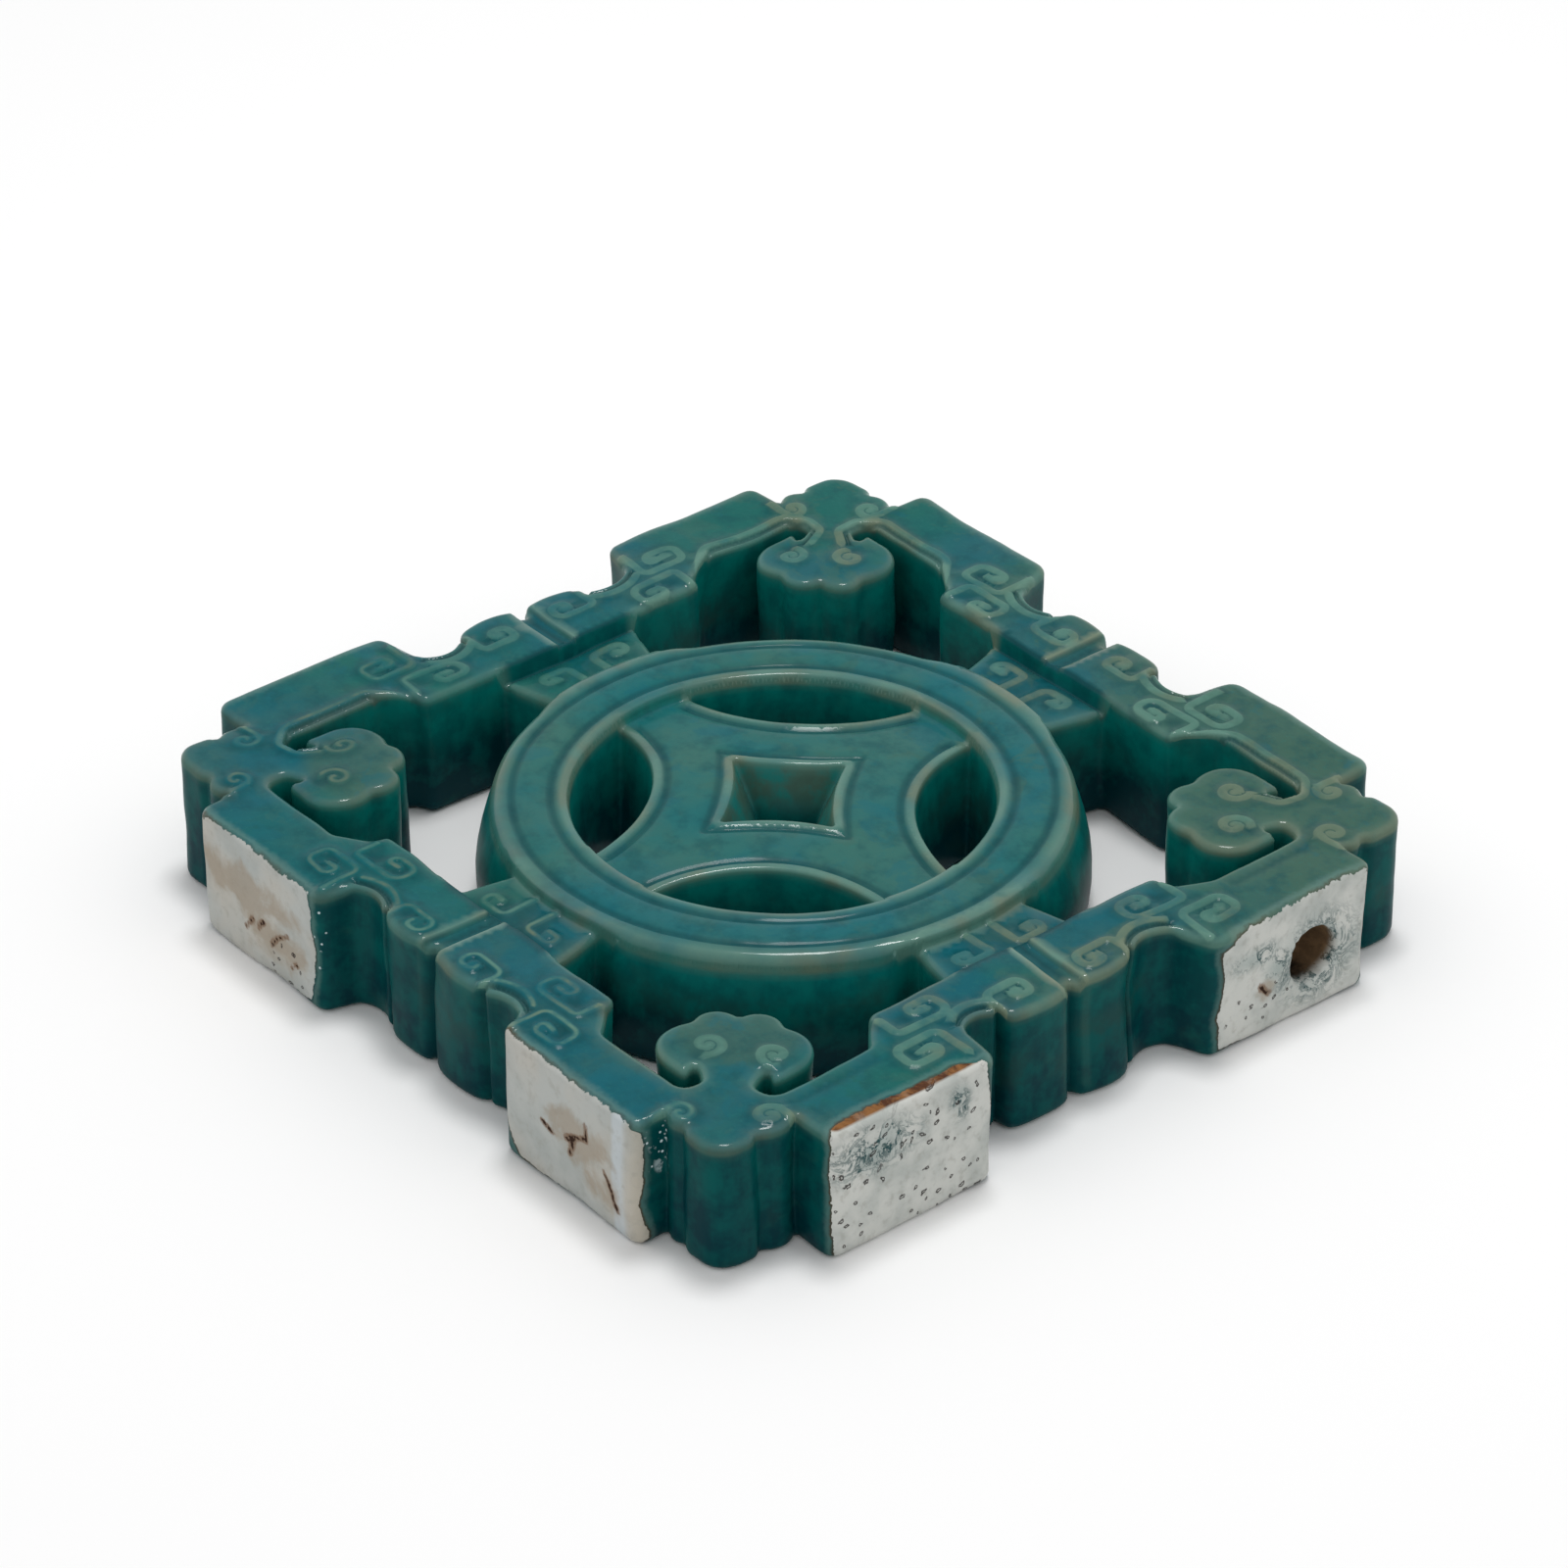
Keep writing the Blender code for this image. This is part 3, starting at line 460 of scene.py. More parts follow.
def half_side(block_end, waist_end, start, end, waist_setback, setback, lobe_setback):
    """Corners of half a side's outline in its own axes: middle block, waist, pad and small bump."""
    waist_face = MIDDLE - waist_setback
    pad_face = MIDDLE - setback
    lobe_face = MIDDLE - lobe_setback
    notch = lobe_face - SCALLOP_DEPTH
    waist = bowed((block_end + CREASE_WIDTH, waist_face), (waist_end, waist_face), -WAIST_SAG)
    bump = bowed((end, notch), (BUMP_END, notch), BUMP_SAG * (BUMP_END - end))
    block = [(0, BLOCK_FACE - SPLIT_FACE_DEPTH, 0), (SPLIT_HALF, BLOCK_FACE, SPLIT_HALF / 2)]
    crown = bowed((SPLIT_HALF, BLOCK_FACE), (block_end, BLOCK_FACE), BLOCK_BULGE)
    block += plain(crown[BLOCK_CROWN]) + [(block_end, BLOCK_FACE, BLOCK_ROUND / 2)]
    crease = [(block_end + 0.3 * CREASE_WIDTH, waist_face - CREASE_DEPTH, 0)]
    return (block + crease + plain(waist[:-1]) + [(*waist[-1], WAIST_ROUND)]
            + [(start, pad_face, PAD_ROUND), (end, pad_face, PAD_ROUND)] + plain(bump)
            + [(BUMP_END + SCALLOP_DEPTH, lobe_face, SCALLOP_DEPTH / 2)])


def outer_loop():
    """The outer loop: four quarters, each two half sides with a corner lobe between them."""
    rows = list(HALF_SIDES.values())
    loop = []
    for part in range(4):
        before, after = rows[2 * part][1:-1], rows[2 * part + 1][1:-1]
        lobe = (MIDDLE - after[-1], MIDDLE - before[-1], LOBE_ROUND)
        beyond = [(y, x, radius) for x, y, radius in half_side(*after)[::-1]]
        loop.append(turned(rounded(half_side(*before) + [lobe] + beyond), -part))
    return np.concatenate(loop)


def cloud_half():
    """Half of a ruyi head's edge, from the slot's mouth round the curl to the diagonal: the corners of its
    pocket, then the points of its curl and front lobe, two circles that meet."""
    curl = np.array(CURL_CENTRE)
    lobe = curl + np.array(CLOUD_LOBE_PLACE) * CURL_RADIUS
    lobe_radius = CLOUD_LOBE * CURL_RADIUS
    gap = lobe - curl
    along = (gap @ gap + CURL_RADIUS ** 2 - lobe_radius ** 2) / (2 * np.linalg.norm(gap))
    side = unit(np.array([gap[1], -gap[0]])) * math.sqrt(CURL_RADIUS ** 2 - along ** 2)
    meet = curl + unit(gap) * along + side
    off = (lobe[1] - lobe[0]) / math.sqrt(2)
    notch = (lobe.sum() / 2 - math.sqrt((lobe_radius ** 2 - off ** 2) / 2)) * np.ones(2)
    floor = (SLIM_EDGE - POCKET_BACK, SLIM_EDGE - POCKET_FLOOR)
    curl_end, lobe_start, lobe_end = (math.atan2(*(there - here)[::-1]) % (2 * math.pi)
                                      for there, here in ((meet, curl), (meet, lobe), (notch, lobe)))
    crook = curl + np.array(CURL_CROOK) * CURL_RADIUS
    tip = curl + np.array([CURL_TIP, 1]) * CURL_RADIUS
    pocket = [(floor[0], SLIM_EDGE, POCKET_ROUND), (*floor, POCKET_ROUND / 2),
              (*crook, CROOK_ROUND), (*tip, TIP_ROUND)]
    curve = arc(curl, CURL_RADIUS, math.pi / 2, curl_end)
    front = arc(lobe, lobe_radius, lobe_start, lobe_end)
    return pocket, np.concatenate([curve, front[1:]])


def corner_half(step):
    """Half of a corner opening, from the ring's diagonal to the ruyi head's notch. The panel ends in a
    straight slope at step 0, and in a step with a shorter slope at step 1."""
    ring = arc((0, 0), RING_RADIUS, math.pi / 4, TAB_ANGLE)
    pocket, cloud = cloud_half()
    end = (1 - step) * np.array(PANEL_SLOPE) + step * np.array(PANEL_STEP)
    corners = plain(ring) + [(TAB_FRAME_HALF, PANEL_EDGE, 0)] + [(*place, PANEL_ROUND) for place in end]
    return rounded(corners + pocket + plain(cloud))


def corner_loops():
    """The four corner openings, each from the halves of the two half sides that meet there."""
    steps = [row[-1] for row in HALF_SIDES.values()]
    loops = []
    for part in range(4):
        before, after = corner_half(steps[2 * part]), corner_half(steps[2 * part + 1])
        loops.append(turned(np.concatenate([before, across(after)[-2:0:-1]]), -part))
    return loops


def leaf_circle():
    """Centre and radius of the arc that bounds a leaf-shaped opening towards the middle."""
    tip = np.array([math.cos(ARM_ANGLE), math.sin(ARM_ANGLE)]) * RING_INNER
    diagonal = np.ones(2) / math.sqrt(2)
    along = tip @ diagonal
    off = np.linalg.norm(tip - diagonal * along)
    rise = along - LEAF_NEAR
    radius = (rise * rise + off * off) / (2 * rise)
    return diagonal * (LEAF_NEAR + radius), radius


def leaf_loop():
    """A leaf-shaped opening: the ring's inner circle and an arc bowed to the middle."""
    centre, radius = leaf_circle()
    half = arc((0, 0), RING_INNER, math.pi / 4, ARM_ANGLE)
    outer = np.concatenate([across(half)[:0:-1], half])
    tip = outer[-1] - centre
    start = math.atan2(tip[1], tip[0]) % (2 * math.pi)
    inner = arc(centre, radius, start, 2.5 * math.pi - start)[1:-1]
    return np.concatenate([outer, inner])


def hole_loop(corner, near):
    """The middle opening: four arcs bowed to the middle between corners on the axes."""
    side = bowed((0, corner), (corner, 0), near - corner / math.sqrt(2))[:-1]
    return np.concatenate([turned(side, -part) for part in range(4)])


def distance_to(points, paths, reach=REACH):
    """Distance from each point to the nearest path, worked out only within reach of each bit of it."""
    nearest = np.full(len(points), float(reach))
    for path in paths:
        for first in range(0, len(path) - 1, BIT):
            bit = path[first:first + BIT + 1]
            near = np.all((points > bit.min(axis=0) - reach) & (points < bit.max(axis=0) + reach), axis=1)
            where = np.flatnonzero(near)
            if not len(where):
                continue
            start, way = bit[:-1], np.diff(bit, axis=0)
            gap = points[where, None] - start
            share = np.clip(np.sum(gap * way, axis=2) / np.maximum(np.sum(way ** 2, axis=1), 1e-12), 0, 1)
            gap -= share[:, :, None] * way
            nearest[where] = np.minimum(nearest[where], np.sqrt(np.sum(gap ** 2, axis=2)).min(axis=1))
    return nearest


def closed(loop):
    """The loop with its first point again at its end."""
    return np.vstack([loop, loop[:1]])


def distance_to_loops(points, loops, reach=REACH):
    """Distance from each point to the nearest closed loop."""
    return distance_to(points, [closed(loop) for loop in loops], reach)


def inside(points, loop):
    """Whether each point lies in the closed loop, by counting the sides that a ray crosses."""
    result = np.zeros(len(points), bool)
    x, y = points.T
    for (x0, y0), (x1, y1) in zip(loop, np.roll(loop, -1, axis=0)):
        crosses = (y0 > y) != (y1 > y)
        result ^= crosses & (x < (x1 - x0) * (y - y0) / (y1 - y0 if y1 != y0 else 1) + x0)
    return result


def swell(points, length, seed, waves=14):
    """Smooth hills of about unit height: a sum of sine waves with seeded ways, phases and lengths."""
    rng = np.random.default_rng(seed)
    ways = rng.normal(size=(waves, points.shape[1]))
    ways /= np.linalg.norm(ways, axis=1)[:, None]
    lengths = length * rng.uniform(0.7, 1.5, waves)
    phases = rng.uniform(0, 2 * math.pi, waves)
    waving = points @ (ways * (2 * math.pi / lengths)[:, None]).T + phases
    return np.sin(waving).sum(axis=1) / math.sqrt(waves / 2)


def spiral(u, v, radius, first, turn, shrink):
    """A line that winds inwards: its radius falls evenly to (1 - shrink) of itself over the turn, in
    degrees."""
    share = np.linspace(0, 1, int(abs(math.radians(turn)) * radius / ARC_RUN))
    angle = np.radians(first + turn * share)
    reach = radius * (1 - shrink * share)
    return np.stack([u + reach * np.cos(angle), v + reach * np.sin(angle)], axis=1)


def carved_lines():
    """The top's raised lines, its narrow cuts, its wide grooves and soft troughs, then the middles of the
    hooks' thick heads and of the pools that they hold."""
    raised, cuts, troughs, heads, pools = [], [], [], [], []
    for name, (axes, block_end, waist_end, *_, waist_setback, _, _, _) in HALF_SIDES.items():
        axes = np.array(axes, float)
        block, pad, panel, curl, corner = STRAYING[name]
        waist_face = MIDDLE - waist_setback
        ridge, cut = (bowed((block_end + 1, face), (waist_end + 1, face), -WAIST_SAG)
                      for face in (waist_face - WAIST_RIDGE_INSET, waist_face - WAIST_CUT_INSET))
        bead = rounded(SLOT_BEAD)
        lines = [rounded(BLOCK_HOOK) + block, rounded(PAD_HOOK) + pad, rounded(PANEL_HOOK) + panel,
                 rounded(TAB_HOOK), spiral(*CURL_SPIRAL) + curl, spiral(*CORNER_SPIRAL) + corner,
                 rounded(CORNER_TAIL) + corner, ridge]
        cuts.append(cut @ axes)
        if name in BEADED:
            lines.append(bead)
            cuts.append((bead - SLOT_CUT_INSET * left_of(bead, False)) @ axes)
        if name in TROUGHED:
            troughs.append((bead[len(bead) // 4:-len(bead) // 3] + TROUGH_SHIFT) @ axes)
        raised += [line @ axes for line in lines]
        heads += list((np.array(HEADS) + (block, pad, panel, (0, 0))) @ axes)
        pools += list((np.array(POOLS) + (block, pad, panel, curl)) @ axes)
    tab_end = PANEL_EDGE - TAB_CUT_INSET
    cuts += four_ways([[tab_end, -TAB_FRAME_HALF], [tab_end, TAB_FRAME_HALF]])
    grooves = [circle(radius) for radius in RING_GROOVES]
    centre, radius = leaf_circle()
    outside = radius + RIM_WIDTH
    limit = RING_INNER - RIM_WIDTH
    reach = (centre @ centre + outside ** 2 - limit ** 2) / (2 * np.linalg.norm(centre) * outside)
    spread = math.acos(min(1, reach))
    grooves += four_ways(arc(centre, outside, 1.25 * math.pi - spread, 1.25 * math.pi + spread))
    grooves.append(closed(hole_loop(HOLE_CORNER + RIM_WIDTH * math.sqrt(2), HOLE_NEAR + RIM_WIDTH)))
    return raised, cuts, grooves, troughs, np.array(heads), np.array(pools)


def profile(distance, half):
    """A soft rounded ridge: (1 - (distance / half)^2)^2 out to its half width."""
    return np.clip(1 - (distance / half) ** 2, 0, 1) ** 2


def band(distance, half):
    """A raised band: level near its middle line, with soft sides down to its half width."""
    return 1 - step_up(distance - (LINE_LEVEL + half) / 2, half - LINE_LEVEL)


def edge_fall(distance, radius):
    """How far a rounded edge of the given radius has dropped at a distance inside it."""
    left = np.clip(radius - distance, 0, radius)
    return radius - np.sqrt(np.maximum(radius ** 2 - left ** 2, 0))


def step_up(distance, width):
    """From 0 to 1 over a width about distance 0, with level ends."""
    share = np.clip(distance / width + 0.5, 0, 1)
    return share * share * (3 - 2 * share)


def near_and_far(points):
    """Each point's distance from the nearer of the tile's two middle lines, and from the farther one."""
    return np.sort(np.abs(points[:, :2]), axis=1).T


def base_height(points):
    """Height of the top without its edges and lines: frame, ring, cross and tabs, with soft steps."""
    radius = np.hypot(*points.T)
    near, far = near_and_far(points)
    cross = RING_TOP - CROSS_DROP - CROSS_SAG * (radius / RING_INNER) ** 2
    ring = cross + (RING_TOP - cross) * step_up(radius - RING_INNER, STEP_RUN)
    tab = TAB_TOP + (ring - TAB_TOP) * step_up(RING_RADIUS - radius, STEP_RUN)
    tab += (FRAME_TOP - TAB_TOP) * step_up(far - PANEL_EDGE, STEP_RUN)
    in_tab = near < TAB_FRAME_HALF + 2
    height = np.where(in_tab, tab, np.where(radius < RING_RADIUS + 1, ring, FRAME_TOP))
    split = 1 - step_up(near - SPLIT_HALF - SPLIT_LIP / 2, SPLIT_LIP)
    return height - SPLIT_DEPTH * split * step_up(far - PANEL_EDGE - 1, 3)


def ring_outside(points, radius):
    """1 on the outer band of the ring away from the tabs, 0 elsewhere, with soft ends."""
    near = np.abs(points).min(axis=1)
    on_ring = step_up(radius - RING_RADIUS + 9, 4) * step_up(RING_RADIUS + 1.6 - radius, 0.8)
    return on_ring * step_up(near - TAB_RING_HALF - 7, 10)


def ring_rims(radius):
    """1 on the ring's two pale rims, outside its outer groove and inside its inner one, 0 elsewhere."""
    outer, inner = RING_GROOVES
    return (step_up(radius - outer - GROOVE_HALF, 2) * step_up(RING_RADIUS + 1 - radius, 1)
            + step_up(radius - RING_INNER, 1) * step_up(inner - GROOVE_HALF - radius, 1.6))


def split_light(points):
    """Light along the rounded lips of the groove in the middle of each side, 0 elsewhere."""
    near, far = near_and_far(points)
    lips = profile(near - SPLIT_HALF - 1.2 * SPLIT_LIP, 1.1 * SPLIT_LIP)
    return 1.5 * lips * step_up(far - PANEL_EDGE - 1, 2)


def split_shade_and_pool(points):
    """Depth of colour, partly pooled glaze and partly painted shade, in the groove in the middle of each
    side and on the frame's edge above the tab.
    """
    near, far = near_and_far(points)
    groove = (profile(near, SPLIT_HALF + 0.4) * step_up(far - RING_RADIUS - 3, 3)
              * (1 + step_up(far - PANEL_EDGE - 1, 2)) / 2)
    brink = profile(far - PANEL_EDGE - BRINK_INSET, BRINK_HALF) * (1 - step_up(near - TAB_FRAME_HALF, 1))
    return np.maximum(groove, brink)


def top_height(points, loops, lines):
    """Height and looks of the top: base, less the rounded edges, with lines raised, grooves cut and pools
    sunk.

    Grooves and pools have the profile (1 - (d / half)^2)^2 across, and edges are quarter circles."""
    raised, cuts, grooves, troughs, heads, pools = lines
    radius = np.hypot(*points.T)
    edge = distance_to_loops(points, loops)
    line = distance_to(points, raised)
    cut = distance_to(points, cuts)
    head, pool = (np.linalg.norm(points[:, None] - middles, axis=2).min(axis=1)
                  for middles in (heads, pools))
    ridge = np.maximum(band(line, LINE_HALF), band(head, HEAD_RADIUS))
    incised = profile(cut, CUT_HALF)
    groove = profile(distance_to(points, grooves), GROOVE_HALF)
    pond = profile(pool, POOL_RADIUS) * (1 - ridge)
    trough = profile(distance_to(points, troughs), TROUGH_HALF)
    on_coin = radius < RING_INNER
    shoulder = TOP_ROUND + (RING_SHOULDER - TOP_ROUND) * ring_outside(points, radius)
    shoulder += (CUT_EDGE_ROUND - shoulder) * (1 - step_up(cut - 3.5, 3))
    height = base_height(points) - edge_fall(edge, np.where(on_coin, TOP_ROUND / 2, shoulder))
    height += LINE_HEIGHT * ridge - CUT_DEPTH * incised - GROOVE_DEPTH * groove - POOL_DEPTH * pond
    height -= TROUGH_DEPTH * trough
    height += RIM_HEIGHT * on_coin * (1 - step_up(edge - 0.7 * RIM_WIDTH, 1.2))
    light = 1 - np.where(on_coin, step_up(edge - 0.62 * RIM_WIDTH, 1.6),
                         step_up(edge - EDGE_LIGHT / 2, EDGE_LIGHT))
    light = np.maximum(light, np.maximum(ring_rims(radius), split_light(points)))
    looks = {"ridge": (ridge + profile(line, CROWN_HALF)) / 2, "edge": light,
             "pool": np.clip(incised * 1.2 + 0.8 * groove + 0.8 * pond + 0.6 * trough + split_shade_and_pool(points)
                             + 0.8 * profile(line - LINE_HALF, LINE_HALF) * (1 - ridge), 0, 1)}
    return height, looks


def one_to_a_cell(points, size):
    """The points in their order, less those whose square cell already holds one."""
    cells = np.floor(points / size).astype(int)
    _, first = np.unique(cells, axis=0, return_index=True)
    return points[np.sort(first)]


def evenly_spread(run, taken):
    """Rows of points over the whole plan, each second row half a run along. Those in or beside a square
    cell that holds a taken point are left out."""
    marks = np.arange(-MIDDLE, MIDDLE, run)
    x, y = np.meshgrid(marks, np.arange(-MIDDLE, MIDDLE, run * math.sqrt(0.75)))
    x = x + run / 2 * (np.arange(len(x)) % 2)[:, None]
    points = np.stack([x.ravel(), y.ravel()], axis=1)
    size = run * CELL_SHARE
    full = np.zeros((int(2 * MIDDLE / size) + 2 * CELL_MARGIN,) * 2, bool)
    column, row = (np.floor((taken + MIDDLE) / size).astype(int) + CELL_MARGIN).T
    for i in (-1, 0, 1):
        for j in (-1, 0, 1):
            full[column + i, row + j] = True
    column, row = (np.floor((points + MIDDLE) / size).astype(int) + CELL_MARGIN).T
    return points[~full[column, row]]


def rows_inside(loops, radius, turns):
    """Rows of points inside each loop, where a quarter-round edge has turned by each angle."""
    rows = []
    for turn in turns:
        inset = radius * (1 - math.cos(math.radians(turn)))
        for loop in loops:
            row = loop + left_of(loop, True) * inset
            rows.append(row[distance_to_loops(row, loops, inset + 1) > 0.93 * inset])
    return rows


def top_points(loops, lines):
    """Free points of the top: rows inside each edge, rows beside each line and step, and an even spread."""
    raised, cuts, grooves, _, heads, _ = lines
    steps = [circle(radius) for radius in (RING_RADIUS, RING_INNER)]
    steps += four_ways([[PANEL_EDGE, -TAB_FRAME_HALF], [PANEL_EDGE, TAB_FRAME_HALF]])
    for side in (-1, 1):
        lip = side * (SPLIT_HALF + SPLIT_LIP / 2)
        steps += four_ways([[PANEL_EDGE, lip], [BLOCK_FACE, lip]])
    beside = []
    rings = [circle(HEAD_RADIUS - 1.2, middle) for middle in heads]
    for paths, offsets in ((raised + rings, (0, 0.95, -0.95, 1.7, -1.7)), (cuts, (0, 0.5, -0.5, 1.1, -1.1)),
                           (grooves, (0, 0.9, -0.9, 1.9, -1.9)), (steps, (0, 0.35, -0.35, 0.8, -0.8))):
        for path in paths:
            path = evenly(path, LINE_RUN)
            side = left_of(path, False)
            beside += [path + side * offset for offset in offsets]
    beside = np.concatenate(beside)
    beside = beside[distance_to_loops(beside, loops, 1) > NEAREST / 2]
    free = one_to_a_cell(np.concatenate(rows_inside(loops, TOP_ROUND, EDGE_TURNS) + [beside]), NEAREST)
    return np.concatenate([free, evenly_spread(OPEN_RUN, np.concatenate(loops + [free]))])


def in_openings(points, loops):
    """Whether each point lies in one of the openings, which are all the loops but the first."""
    result = np.zeros(len(points), bool)
    for loop in loops[1:]:
        near = np.flatnonzero(np.all((points > loop.min(axis=0)) & (points < loop.max(axis=0)), axis=1))
        result[near] |= inside(points[near], loop)
    return result


def filled(loops, free):
    """Points and triangles of the clay between closed loops: the loops' own points first, in their order,
    then the free ones, all joined by a Delaunay filling that is cut out of the openings."""
    points = np.round(np.concatenate(loops + [free[~in_openings(free, loops)]]), 4)
    count = sum(len(loop) for loop in loops)
    starts = np.cumsum([0] + [len(loop) for loop in loops])
    edges = np.concatenate([np.stack([np.arange(a, b), np.roll(np.arange(a, b), -1)], axis=1)
                            for a, b in zip(starts, starts[1:])])
    places, _, faces, *_ = delaunay_2d_cdt([Vector(point) for point in points], edges.tolist(), [], 1, 1e-5)
    places, faces = np.array(places), np.array(faces)
    if not np.allclose(places[:count], points[:count], atol=1e-3):
        raise ValueError("the filled plan doesn't begin with its loops")
    faces = faces[~in_openings(places[faces].mean(axis=1), loops)]
    used = np.zeros(len(places), bool)
    used[faces] = True
    used[:count] = True
    corners = places[faces]
    way, other = corners[:, 1] - corners[:, 0], corners[:, 2] - corners[:, 0]
    back = way[:, 0] * other[:, 1] - way[:, 1] * other[:, 0] < 0
    faces[back] = faces[back][:, ::-1]
    return places[used], (np.cumsum(used) - 1)[faces]


def foot_place(points):
    """Where walls stand on the underside: openings narrow towards their middles and the ring flares out."""
    radius = np.hypot(*points.T)[:, None]
    flare = RING_FLARE * np.clip(1 - np.abs(radius - RING_RADIUS) / FLARE_REACH, 0, 1)
    middle = np.sign(points) * LEAF_MIDDLE / math.sqrt(2)
    leaf = middle + (points - middle) * LEAF_NARROWING
    foot = np.where(radius < RING_INNER + 1, leaf, points * (1 + flare / radius))
    return np.where(radius < HOLE_CORNER + 1, points * FUNNEL_SHARE, foot)


def wall_rows(loop, foot, rim, levels):
    """Rows of a wall from the rim down to the foot's round, each point on the way from its rim to its foot.

    The middle hole narrows over its funnel alone, and the ring's outside swells by the sine of the way
    down."""
    share = np.array(levels)[:, None] / levels[-1]
    height = rim - share * (rim - FOOT_ROUND)
    radius = np.hypot(*loop.T)
    funnel = np.clip((rim - height) / (rim - THICKNESS + FUNNEL_DEPTH), 0, 1)
    narrowing = np.where(radius < HOLE_CORNER + 1, funnel, share)
    place = loop + narrowing[:, :, None] * (foot - loop)
    bulge = RING_BULGE * np.sin(math.pi * share) * ring_outside(loop, radius)
    place = place + (bulge / radius)[:, :, None] * loop
    return np.concatenate([place, height[:, :, None]], axis=2)


def end_face(points, name, on_wall):
    """Places on a pad's end face, along it and up, how far behind it each lies, and whose points they are.

    Round the pad's ends the way on is measured outwards on its walls, so that its outline lies unrolled."""
    axes, _, _, start, end, _, setback, _, _ = HALF_SIDES[name]
    along, outwards = (points[:, :2] @ np.array(axis, float) for axis in axes)
    here = np.flatnonzero((along > PAD_BEGINS) & (outwards > MIDDLE - setback - PAD_BEHIND))
    behind = (MIDDLE - setback - outwards[here]).clip(0)
    round_end = behind * np.sign(along[here] - (start + end) / 2) * on_wall[here]
    return np.stack([along[here] + round_end, points[here, 2]], axis=1), behind, here


def bare_clay(points, edge):
    """Looks of the bare end faces: how far inside them each point lies in millimetres, below zero outside,
    the rust on one edge, and the marks, which fade evenly to nothing at 1.3 times their reach."""
    looks = {name: np.zeros(len(points)) for name in ("rust", "stain", "brown", "pits", "crack", "painted_glint")}
    bare = np.full(len(points), -float(REACH))
    for name in HALF_SIDES:
        wrap, outline = BARE_FACES.get(name, BARE_FACES["plain"])
        outline = np.array(outline, float)
        face, behind, here = end_face(points, name, edge <= 0)
        depth = distance_to_loops(face, [outline]) * np.where(inside(face, outline), 1, -1)
        if name == RUST_FACE:
            first, last = RUST_SPAN
            strip = step_up(face[:, 0] - first, 6) * step_up(last - face[:, 0], 6)
            looks["rust"][here] = step_up(edge[here] - wrap, 0.8)
            wrap = wrap + (RUST_REACH - wrap) * strip
        over = np.minimum(depth, wrap - np.maximum(edge[here], behind))
        bare[here] = np.maximum(bare[here], np.where(edge[here] > 0, over, depth))
        cracks = [np.array(crack, float) for crack in CRACKS.get(name, ())]
        near = distance_to(face, cracks, CRACK_REACH)
        looks["crack"][here] = np.maximum(looks["crack"][here], 1 - near / CRACK_REACH)
        for mark_face, kind, middle, reach in MARKS:
            if mark_face == name:
                away = np.hypot(*((face - middle) / reach).T)
                looks[kind][here] = np.maximum(looks[kind][here], np.clip(1.3 - away, 0, 1))
    return {"bare": bare, **looks}


def pierced(points):
    """The points with the kiln hole sunk into its end face, and how far each one has gone in, from 0 to 1.

    Distances from its middle are drawn together where its wall goes in, and its depth falls to nothing at
    its rim, which wanders by two sine waves."""
    axes, *_, setback, _, _ = HALF_SIDES[KILN_PAD]
    along_axis, out_axis = np.array(axes, float)
    along, outwards = points[:, :2] @ along_axis, points[:, :2] @ out_axis
    face = np.stack([along, points[:, 2]], axis=1) - KILN_PLACE
    angle = np.arctan2(face[:, 1], face[:, 0])
    rim = KILN_RADIUS * (1 + 0.05 * np.sin(2 * angle + 0.7) + 0.04 * np.sin(3 * angle + 2))
    reach = np.hypot(*face.T) / rim
    here = (np.abs(outwards - MIDDLE + setback) < 1) & (reach < 1.7) & (points[:, 2] < FRAME_TOP - TOP_ROUND)
    depth = KILN_DEPTH * np.interp(reach, *KILN_SUNK)
    moved = face * (np.interp(reach, *KILN_DRAWN) / np.maximum(reach, 1e-6))[:, None] + KILN_PLACE
    pushed = moved[:, :1] * along_axis + (outwards - depth)[:, None] * out_axis
    return (np.where(here[:, None], np.concatenate([pushed, moved[:, 1:]], axis=1), points),
            np.where(here, depth / KILN_DEPTH, 0))


